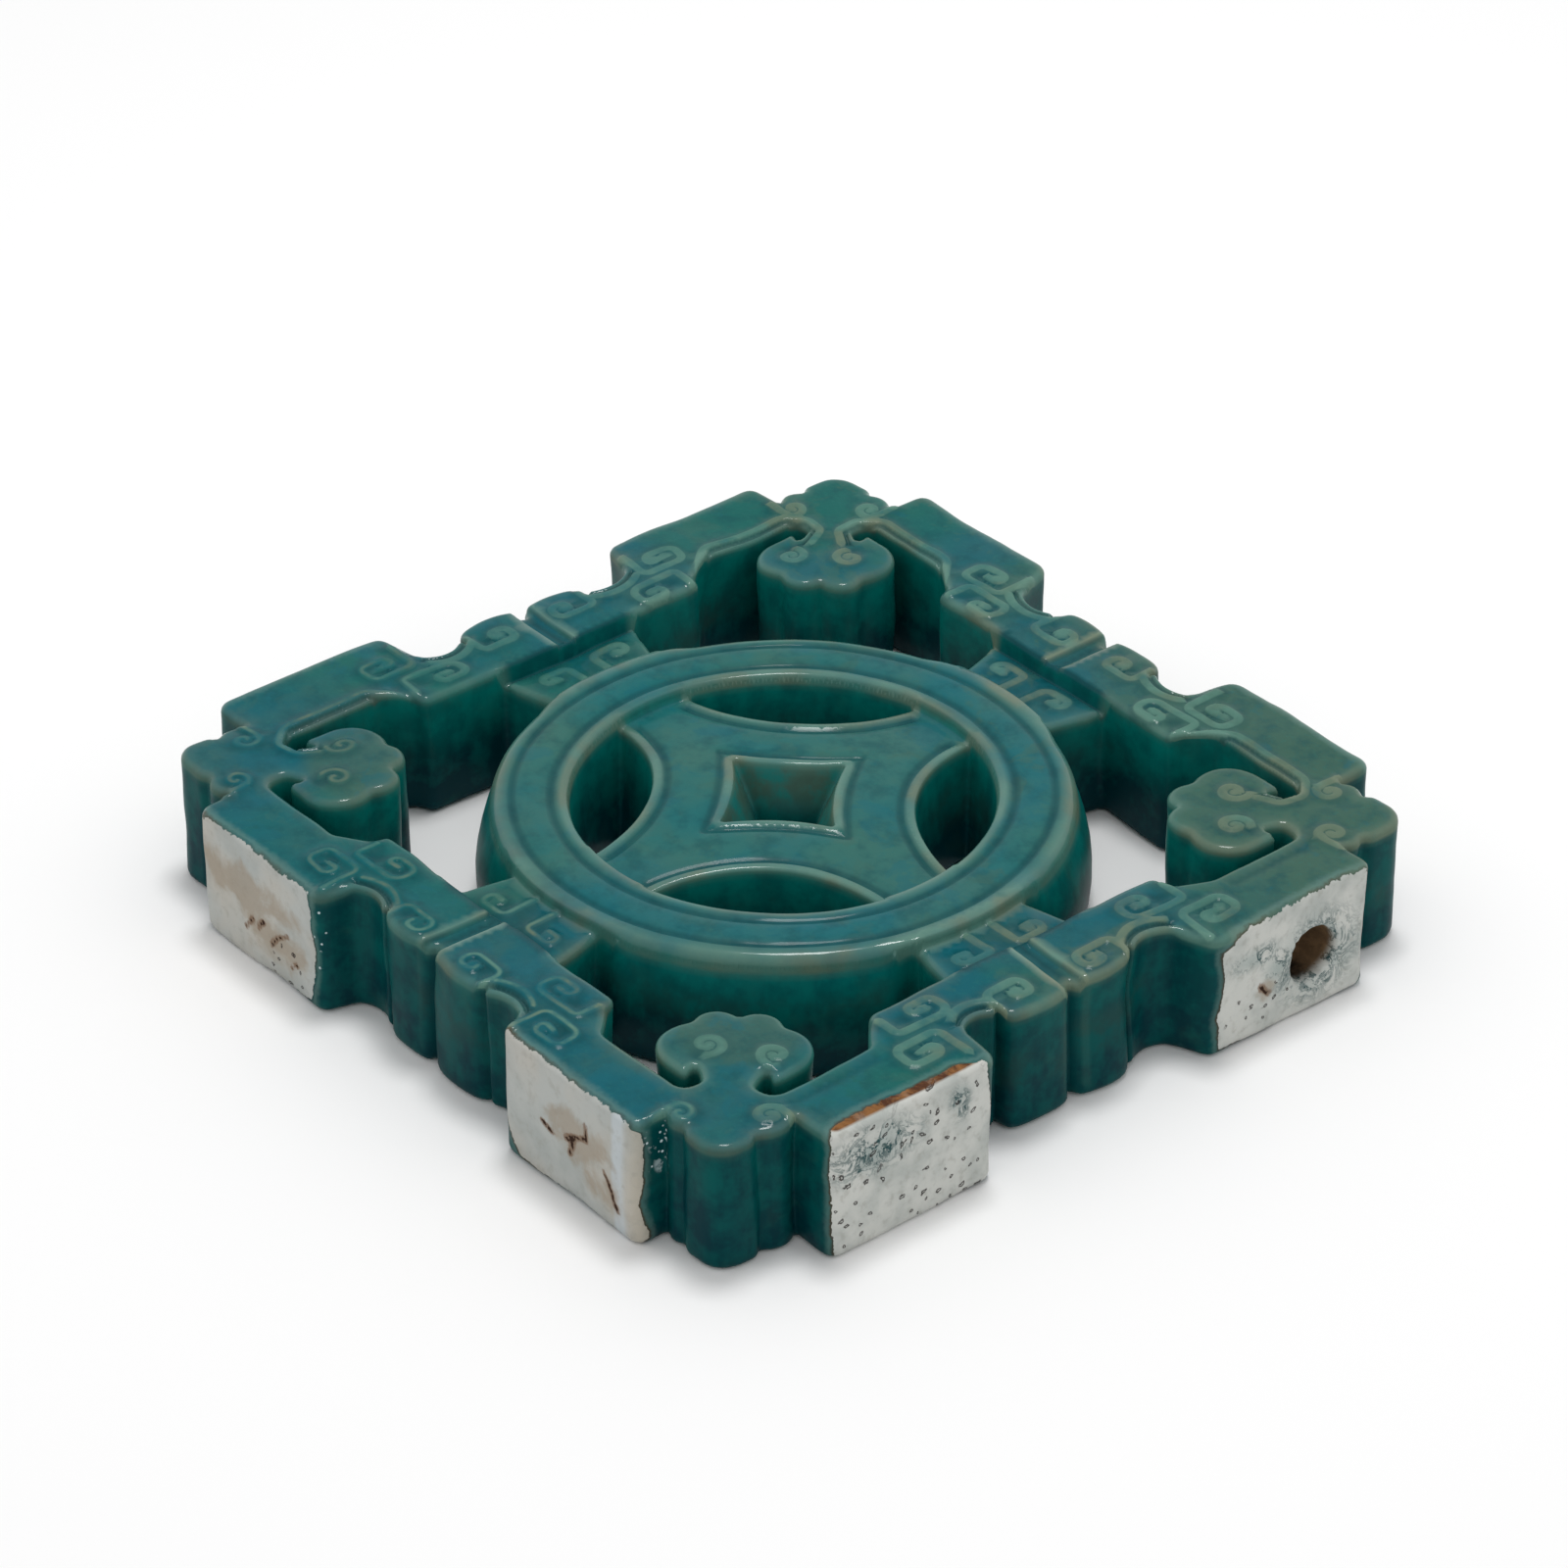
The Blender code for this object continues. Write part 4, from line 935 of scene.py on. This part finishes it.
def tile_mesh():
    """All points of the tile in millimetres, its faces by parts, and its looks by name.

    The top is filled between the plan's loops and lifted to its height, walls run down from its edges, and
    the underside is filled between the walls' feet."""
    loops = [outer_loop()] + corner_loops() + four_ways(leaf_loop()) + [hole_loop(HOLE_CORNER, HOLE_NEAR)]
    loops = [clay_on_left(softened(evenly(loop, LOOP_RUN, True)), i == 0) for i, loop in enumerate(loops)]
    lines = carved_lines()
    plan, top_faces = filled(loops, top_points(loops, lines))
    height, looks = top_height(plan, loops, lines)
    feet = [foot_place(loop) for loop in loops]
    under = one_to_a_cell(np.concatenate(rows_inside(feet, FOOT_ROUND, FOOT_TURNS)), NEAREST)
    spread = evenly_spread(UNDER_RUN, np.concatenate(feet + [under]))
    under, under_faces = filled(feet, np.concatenate([under, spread]))
    under_edge = distance_to_loops(under, feet)

    levels = [OUTER_LEVELS] + [INNER_LEVELS] * (len(loops) - 1)
    counts = [len(loop) for loop in loops]
    rows = [len(level) - 2 for level in levels]
    starts = np.cumsum([0] + counts)
    wall_starts = len(plan) + np.cumsum([0] + [count * row for count, row in zip(counts, rows)])
    top, under_from = len(plan), wall_starts[-1]
    walls, faces = [], [top_faces, under_faces[:, ::-1] + under_from]
    for i, count in enumerate(counts):
        here = slice(starts[i], starts[i + 1])
        walls.append(wall_rows(plan[here], feet[i], height[here], levels[i])[1:-1].reshape(-1, 3))
        round_it = np.arange(count)
        between = round_it + count * np.arange(rows[i])[:, None] + wall_starts[i]
        grid = np.vstack([round_it + starts[i], between, round_it + under_from + starts[i]])
        beyond = np.roll(grid, -1, axis=1)
        faces.append(np.stack([grid[:-1], grid[1:], beyond[1:], beyond[:-1]], axis=2).reshape(-1, 4))
    wall = np.concatenate(walls)
    below = np.column_stack([under, edge_fall(under_edge, FOOT_ROUND)])
    points = np.concatenate([np.column_stack([plan, height]), wall, below])

    looks = {name: np.concatenate([look, np.zeros(len(points) - top)]) for name, look in looks.items()}
    rim = np.concatenate([np.tile(height[starts[i]:starts[i + 1]], row) for i, row in enumerate(rows)])
    light = 1 - step_up(rim - wall[:, 2] - WALL_LIGHT / 2, WALL_LIGHT)
    looks["edge"][top:under_from] = np.maximum(light, SPLIT_WALL_LIGHT * split_light(wall))
    # Painted shade in the walls' middle grooves
    looks["pool"][top:under_from] = split_shade_and_pool(wall)
    edge = np.zeros(len(points))
    edge[:top] = distance_to_loops(plan, loops)
    looks.update(bare_clay(points, edge))
    looks["bare"][under_from:] = np.maximum(looks["bare"][under_from:], under_edge - UNDER_LAP)
    return points, faces, looks


def uneven(points):
    """The hand-made body: broad and small hills of clay and glaze, with the foot left on the ground."""
    lift = np.clip(points[:, 2:] / FOOT_ROUND, 0, 1)
    share = 1 - RING_CALM * (1 - step_up(np.hypot(*points[:, :2].T)[:, None] - RING_RADIUS - 8, 12))
    for length, size, seed in HILLS:
        hills = np.stack([swell(points, length, 10 * seed + axis) for axis in range(3)], axis=1)
        points = points + size * share * hills * np.concatenate([np.ones_like(lift)] * 2 + [lift], axis=1)
    return points


def centred(points):
    """Points moved so that the outer loop's box stands round the origin, and kept in the solid's box."""
    loop = outer_loop()
    middle = (loop.max(axis=0) + loop.min(axis=0)) / 2
    low, high = np.array(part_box("tile")) / MM
    return np.clip(points - (*middle, 0), low, high)


def new_object(name, data):
    """An object with the data, put in the scene."""
    made = bpy.data.objects.new(name, data)
    bpy.context.scene.collection.objects.link(made)
    return made


def make_tile():
    """The glazed tile as one closed mesh with its looks as attributes of its points."""
    points, faces, looks = tile_mesh()
    points, looks["sunk"] = pierced(points)
    points = centred(uneven(points))
    mesh = bpy.data.meshes.new("glazed_tile")
    corners = np.concatenate([part.ravel() for part in faces])
    sizes = np.concatenate([np.full(len(part), part.shape[1]) for part in faces])
    mesh.vertices.add(len(points))
    mesh.vertices.foreach_set("co", (points * MM).ravel())
    mesh.loops.add(len(corners))
    mesh.loops.foreach_set("vertex_index", corners.astype(np.int32))
    mesh.polygons.add(len(sizes))
    mesh.polygons.foreach_set("loop_start", (np.cumsum(sizes) - sizes).astype(np.int32))
    mesh.update(calc_edges=True)
    mesh.validate()
    mesh.shade_smooth()
    for name, values in looks.items():
        mesh.attributes.new(name, "FLOAT", "POINT").data.foreach_set("value", values.astype(np.float32))
    return new_object("glazed_tile", mesh)


# A Mix node's sockets for the share and for the two colours, and the one that gives the mixed colour
MIX_SOCKETS = (0, 6, 7)
MIX_RESULT = 2


class Flow:
    """A node's output, which adds more shader nodes as it is worked with."""

    def __init__(self, socket, nodes):
        self.socket = socket
        self.nodes = nodes

    def math(self, operation, *others):
        return self.nodes.add("ShaderNodeMath", {"operation": operation}, [self, *others])

    def __add__(self, other):
        return self.math("ADD", other)

    __radd__ = __add__

    def __sub__(self, other):
        return self.math("SUBTRACT", other)

    def __rsub__(self, other):
        return self.nodes.add("ShaderNodeMath", {"operation": "SUBTRACT"}, [other, self])

    def __mul__(self, other):
        return self.math("MULTIPLY", other)

    __rmul__ = __mul__

    def __pow__(self, other):
        return self.math("POWER", other)

    def __neg__(self):
        return self.math("MULTIPLY", -1)

    def smooth(self, low, high):
        """From 0 at low to 1 at high, with level ends."""
        return self.nodes.add("ShaderNodeMapRange", {"interpolation_type": "SMOOTHSTEP"}, {
            "Value": self, "From Min": low, "From Max": high})

    def held(self):
        """Kept between 0 and 1."""
        return self.nodes.add("ShaderNodeClamp", {}, [self])


class Nodes:
    """A material's node tree, with one method that adds any node."""

    def __init__(self, name):
        self.material = bpy.data.materials.new(name)
        self.material.use_nodes = True
        self.tree = self.material.node_tree
        self.tree.nodes.clear()

    def add(self, kind, settings, inputs, output=0):
        """Adds a node: its settings first, then its inputs by name or in order. Gives one of its outputs."""
        node = self.tree.nodes.new(kind)
        for name, value in settings.items():
            setattr(node, name, value)
        pairs = inputs.items() if isinstance(inputs, dict) else enumerate(inputs)
        for key, value in pairs:
            if isinstance(value, Flow):
                self.tree.links.new(value.socket, node.inputs[key])
            else:
                node.inputs[key].default_value = value
        return Flow(node.outputs[output], self) if node.outputs else None

    def look(self, name):
        """One of the looks kept in the mesh, as a number."""
        return self.add("ShaderNodeAttribute", {"attribute_name": name}, {}, "Fac")

    def place(self):
        """Place on the piece, in metres."""
        return self.add("ShaderNodeTexCoord", {}, {}, "Object")

    def moved(self, place, by, scale=(1, 1, 1)):
        """A place shifted and stretched, so that two patterns differ."""
        return self.add("ShaderNodeMapping", {}, {"Vector": place, "Location": by, "Scale": scale})

    def noise(self, place, size, detail=3, roughness=0.55, warp=0):
        """Soft noise from 0 to 1 with hills about size millimetres across."""
        return self.add("ShaderNodeTexNoise", {}, {
            "Vector": place, "Scale": 1 / (size * MM), "Detail": detail, "Roughness": roughness,
            "Distortion": warp}, "Fac")

    def mix(self, share, first, second):
        """Two colours mixed, the second by its share."""
        colours = [one if isinstance(one, Flow) else (*one, 1) for one in (first, second)]
        sockets = dict(zip(MIX_SOCKETS, (share, *colours)))
        return self.add("ShaderNodeMix", {"data_type": "RGBA"}, sockets, MIX_RESULT)

    def coats(self, base, *coats):
        """Colours laid over a base one after another, each by its own share."""
        for share, colour in coats:
            base = self.mix(share, base, colour)
        return base

    def parts(self, vector):
        """The three parts of a vector or a colour."""
        return [self.add("ShaderNodeSeparateXYZ", {}, [vector], part) for part in range(3)]

    def bump(self, height, distance):
        """A bump from a height between 0 and 1, and its real height in millimetres."""
        sockets = {"Height": height, "Distance": distance * MM, "Strength": 1.0}
        return self.add("ShaderNodeBump", {}, sockets, "Normal")

    def finished(self, sockets):
        """The material, with a glossy surface from these sockets."""
        shader = self.add("ShaderNodeBsdfPrincipled", {}, sockets, "BSDF")
        self.add("ShaderNodeOutputMaterial", {}, {"Surface": shader})
        return self.material


def glaze_material():
    """Teal glaze over pale clay: it breaks grey-green where it is thin, partly as a painted highlight,
    deepens where it pools and on the walls, partly as painted shade, and ends raggedly round the bare end
    faces."""
    nodes = Nodes("teal_glaze")
    place = nodes.place()
    x, y, z = (part * (1 / MM) for part in nodes.parts(place))
    radius = (x * x + y * y) ** 0.5
    x_size, y_size = x.math("ABSOLUTE"), y.math("ABSOLUTE")
    up = nodes.parts(nodes.add("ShaderNodeNewGeometry", {}, {}, "Normal"))[2].smooth(0.1, 0.85)
    ridge, pool, edge, bare, rust, stain, brown, pits, crack, painted_glint, sunk = (nodes.look(name) for name in (
        "ridge", "pool", "edge", "bare", "rust", "stain", "brown", "pits", "crack", "painted_glint", "sunk"))

    broad = nodes.noise(place, 70, 2, 0.5, 0.6)
    drift = nodes.noise(nodes.moved(place, (0.3, 0.1, 0.2)), 40, 3)
    patch = nodes.noise(nodes.moved(place, (0.1, 0.5, 0.3)), 16, 4, 0.6, 0.4)
    mottle = nodes.noise(place, 9, 4, 0.6)
    crust = nodes.noise(nodes.moved(place, (0.7, 0.4, 0)), 8, 6, 0.7, 0.8)
    run = nodes.noise(nodes.moved(place, (0, 0, 0), (1, 1, 0.15)), 7, 3)
    fine = nodes.noise(place, 1.6, 3, 0.6)

    # The top: bluer in front, greyer towards the back's right, with the ring and the cloud heads apart
    blue = (broad.smooth(0.42, 0.62) + (-y).smooth(100, 135) * 0.5).held()
    grey = (drift.smooth(0.45, 0.7) * 0.4 + (x * 0.5 + y).smooth(90, 165) * 0.95).held()
    cloud = nodes.add("ShaderNodeVectorMath", {"operation": "DISTANCE"}, [
        nodes.add("ShaderNodeCombineXYZ", {}, [x_size, y_size, 0]), CLOUD_MIDDLE], "Value")
    head = (1 - cloud.smooth(16, 24)) * (1 - (y - x).smooth(60, 160) * 0.8)
    top = nodes.coats(
        nodes.mix(blue, TEAL, SEA_BLUE),
        (grey, GREY_GREEN),
        ((1 - radius.smooth(91, 94)) * 0.7, nodes.mix(drift.smooth(0.3, 0.65), *COIN_TEAL)),
        (head * 0.75, CLOUD_GREEN),
        (mottle.smooth(0.42, 0.7) * 0.5, DARK_MOTTLE),
        (fine.smooth(0.5, 0.75) * 0.22, PALE_FLECK),
        (patch.smooth(0.54, 0.62) * (0.16 + (x * 0.5 + y).smooth(-40, 110) * 0.3), OLIVE_PATCH),
        ((1 - patch.smooth(0.36, 0.44)) * 0.35, BLUE_PATCH))

    # The walls: darker downwards and where the glaze ran, in the openings too, with olive at mid height. The
    #     # darkening downwards and in the openings is painted shade, and the openings' brighter upper colour
    #     is painted light.
    painted_low_shade = 1 - z.smooth(4, 40)
    shade = (run.smooth(0.4, 0.66) * 0.25 + mottle.smooth(0.35, 0.65) * 0.55 + painted_low_shade * 0.35).held()
    inward = 1 - x_size.math("MAXIMUM", y_size).smooth(127, 131)
    olive = z.smooth(12, 19) * (1 - z.smooth(25, 33)) * broad.smooth(0.48, 0.62) * mottle.smooth(0.35, 0.6)
    wall = nodes.coats(
        nodes.mix(shade, *OUTER_WALL),
        (inward, nodes.mix((shade * 0.6 + painted_low_shade * 0.65).held(), *INNER_WALL_LIT_AND_SHADED)),
        ((olive * 0.2 + patch.smooth(0.55, 0.7) * 0.12).held(), WALL_OLIVE),
        ((1 - radius.smooth(26, 28)) * z.smooth(24, 36) * mottle.smooth(0.3, 0.6) * 0.7, FUNNEL_OLIVE))

    # Thin glaze on edges and lines, partly a painted highlight on the rounded edges and the lines' crowns:
    # in front
    #     # only the lines' crowns, farther back their whole bands
    whole = (y + x * 0.3).smooth(-120, -60)
    line = (ridge.smooth(0.6, 0.95) * (1 - whole) * (0.3 + mottle.smooth(0.3, 0.6) * 1.1)
            + ridge.smooth(0.05, 0.5) * whole)
    thin_glaze_and_highlight = edge * (0.3 + drift.smooth(0.3, 0.6) * 0.55) + line * (0.35 + patch.smooth(0.35, 0.6) * 0.45)
    thin_glaze_and_highlight = (thin_glaze_and_highlight * (0.45 + mottle * 0.65 + fine * 0.25) * (0.6 + (x + y).smooth(-220, 40) * 0.45)
            * (1 - (x - y).smooth(235, 260) * 0.5))

    # The glaze's ragged border round the clay: a brown lip, a milky band and, in places, white specks of
    #     # painted highlight, glints that stand in for reflections
    ragged = bare + (nodes.noise(place, 4, 3) - 0.5) * 2.4 + (fine - 0.5) * 1.4
    clay = ragged.smooth(-0.1, 0.14)
    lip = ragged.smooth(-1.5, -0.1) * (1 - clay)
    glint_spots = {"Vector": place, "Scale": 1 / (GLINT_SPACING * MM)}
    glint_spot = 1 - nodes.add("ShaderNodeTexVoronoi", {}, glint_spots, "Distance").smooth(0.16, 0.26)
    # Painted highlight: white glints where the glint marks lie
    glint = (glint_spot * mottle.smooth(0.46, 0.56) * painted_glint.smooth(0.1, 0.5)
             + (patch - fine * 0.2).smooth(0.5, 0.54) * painted_glint.smooth(0.5, 0.9) * 0.5)
    glaze = nodes.coats(
        nodes.mix(up, wall, top),
        # Pooled glaze, and painted shade in the middle grooves and on the frame's edge above the tab
        ((pool * (0.55 + mottle * 0.5)).held(), POOLED_TEAL_AND_SHADE),
        (thin_glaze_and_highlight.held(), nodes.mix(nodes.noise(place, 30, 2).smooth(0.45, 0.6), *THIN_GLAZE_AND_HIGHLIGHT)),
        (lip * 0.8 * drift.smooth(0.35, 0.6), BROWN_LIP),
        (ragged.smooth(-4, -1.2) * (1 - lip) * 0.35, MILKY_BAND),
        (glint.held(), PAINTED_GLINT_WHITE))

    # The bare clay and its marks: stains drawn into veins, cracks, and pits scattered one to a cell
    front = (-y).smooth(141, 144) * (1 - x.smooth(125, 130))
    stained = (brown + (patch - 0.5) * 3 + (crust - 0.5) * 0.8).smooth(0.3, 1) * brown.smooth(0, 0.25)
    cracked = crack + (crust - 0.5) * 1.1
    vein = 1 - (crust - 0.5).math("ABSOLUTE").smooth(0.012, 0.05)
    smear = stain * 1.3 * vein + stain * nodes.noise(place, 3, 4, 0.7).smooth(0.56, 0.62)
    flat = nodes.add("ShaderNodeCombineXYZ", {}, [x + y + mottle * 9 + fine * 1.5,
                                                  z + drift * 22 + fine * 1.5, 0])
    dots = {"voronoi_dimensions": "2D"}, {"Vector": flat, "Scale": 1 / PIT_SPACING}
    chosen = nodes.parts(nodes.add("ShaderNodeTexVoronoi", *dots, "Color"))[0]
    cell = nodes.add("ShaderNodeTexVoronoi", *dots, "Distance") * (0.6 + chosen * 0.7)
    hollow = (1 - cell.smooth(0.13, 0.19)) * chosen.smooth(0.42, 0.46) * pits.smooth(0.1, 0.3)
    # Inside the kiln hole: painted shade, lighter as painted light on its back half
    kiln_lit_side = (crust.smooth(0.4, 0.6) * 0.4 + y.smooth(85, 92) * 0.7).held()
    slip = nodes.coats(
        nodes.mix(nodes.noise(place, 14, 4).smooth(0.38, 0.68), *PALE_CLAY),
        # Darker front faces: partly a beige tint, partly painted shade
        (front * 0.55, nodes.mix(drift.smooth(0.4, 0.6), *FRONT_CLAY_TINT_AND_SHADE)),
        (front * x.smooth(108, 112) * 0.5, TAN_END),
        # A painted sheen: a bluish stripe on the front face
        (front * x.smooth(101, 103) * (1 - x.smooth(106, 109)) * 0.5, PAINTED_BLUE_SHEEN),
        (nodes.noise(place, 3.5, 4, 0.65).smooth(0.52, 0.7) * 0.35, CLAY_GRAIN),
        (stained * 0.65, BROWN_MARK),
        (cracked.smooth(0.55, 0.8) * 0.8, CRACK_SIDE),
        (cracked.smooth(0.82, 0.9), CRACK_DARK),
        ((stain * crust.smooth(0.35, 0.6) * 0.5).held(), STAIN_HAZE),
        ((smear * 0.7).held(), STAIN_TEAL),
        (hollow * cell.smooth(0.02, 0.09) * 0.9, PIT_DARK),
        ((rust * (0.55 + mottle)).held(), nodes.mix(crust.smooth(0.4, 0.58), *RUST)),
        (sunk.smooth(0.02, 0.3), nodes.mix(kiln_lit_side, *KILN_HOLE_SHADE_AND_LIGHT)))

    skin = nodes.noise(place, 3.5, 2) * 0.3 + nodes.noise(place, 16, 2) * 0.7
    grit = fine * 0.5 + nodes.noise(place, 0.7, 3, 0.7) * 0.2 + (1 - hollow) * 0.8
    return nodes.finished({
        "Base Color": nodes.mix(clay, glaze, slip), "Roughness": 0.38 + clay * 0.45,
        "Normal": nodes.bump(skin * (1 - clay) * 0.45 + (grit - 1.2) * clay, 0.3),
        "Coat Weight": (1 - clay) * (0.01 + up * (0.13 + edge * 0.5 - ridge * 0.12)).held(),
        "Specular IOR Level": 0.05, "Coat Roughness": 0.1})


def make_floor():
    """A plain pale floor that the tile lies on."""
    half, low = FLOOR_HALF, -FLOOR_GAP
    mesh = bpy.data.meshes.new("pale_floor")
    mesh.from_pydata([(-half, -half, low), (half, -half, low), (half, half, low), (-half, half, low)], [],
                     [(0, 1, 2, 3)])
    mesh.materials.append(Nodes("pale_floor").finished({
        "Base Color": (0.95, 0.95, 0.95, 1), "Roughness": 0.9, "Specular IOR Level": 0.1}))
    new_object("pale_floor", mesh)


def add_lights():
    """Even pale light from all round, and a square soft lamp overhead that faces the tile."""
    data = bpy.data.lights.new("overhead", "AREA")
    data.size = LAMP_SIZE
    data.energy = LAMP_POWER
    lamp = new_object("overhead", data)
    lamp.location = LAMP_PLACE
    lamp.rotation_euler = (-lamp.location).to_track_quat("-Z", "Y").to_euler()
    world = bpy.data.worlds.new("studio")
    world.use_nodes = True
    sky = world.node_tree.nodes["Background"].inputs
    sky["Color"].default_value = (1, 1, 1, 1)
    sky["Strength"].default_value = SKY_STRENGTH
    bpy.context.scene.world = world


def add_camera():
    """A camera at the photograph's place: the sines and cosines of its angles to the side and up give the
    way back from the tile, and its roll turns right and up round that."""
    azimuth, elevation, roll = (math.radians(angle) for angle in CAMERA_ANGLES)
    back = Vector((math.sin(azimuth) * math.cos(elevation), -math.cos(azimuth) * math.cos(elevation),
                   math.sin(elevation)))
    level = Vector((math.cos(azimuth), math.sin(azimuth), 0))
    up = back.cross(level)
    right = math.cos(roll) * level + math.sin(roll) * up
    up = math.cos(roll) * up - math.sin(roll) * level
    data = bpy.data.cameras.new("photographer")
    data.sensor_width = 36
    data.lens = CAMERA_LENS
    camera = new_object("photographer", data)
    camera.matrix_world = Matrix((right, up, back)).transposed().to_4x4()
    camera.location = CAMERA_PLACE
    bpy.context.scene.camera = camera


add_camera()
tile = make_tile()
tile.data.materials.append(glaze_material())
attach(tile, "root")
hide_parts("tile")
make_floor()
add_lights()
bpy.context.scene.view_settings.view_transform = "Standard"
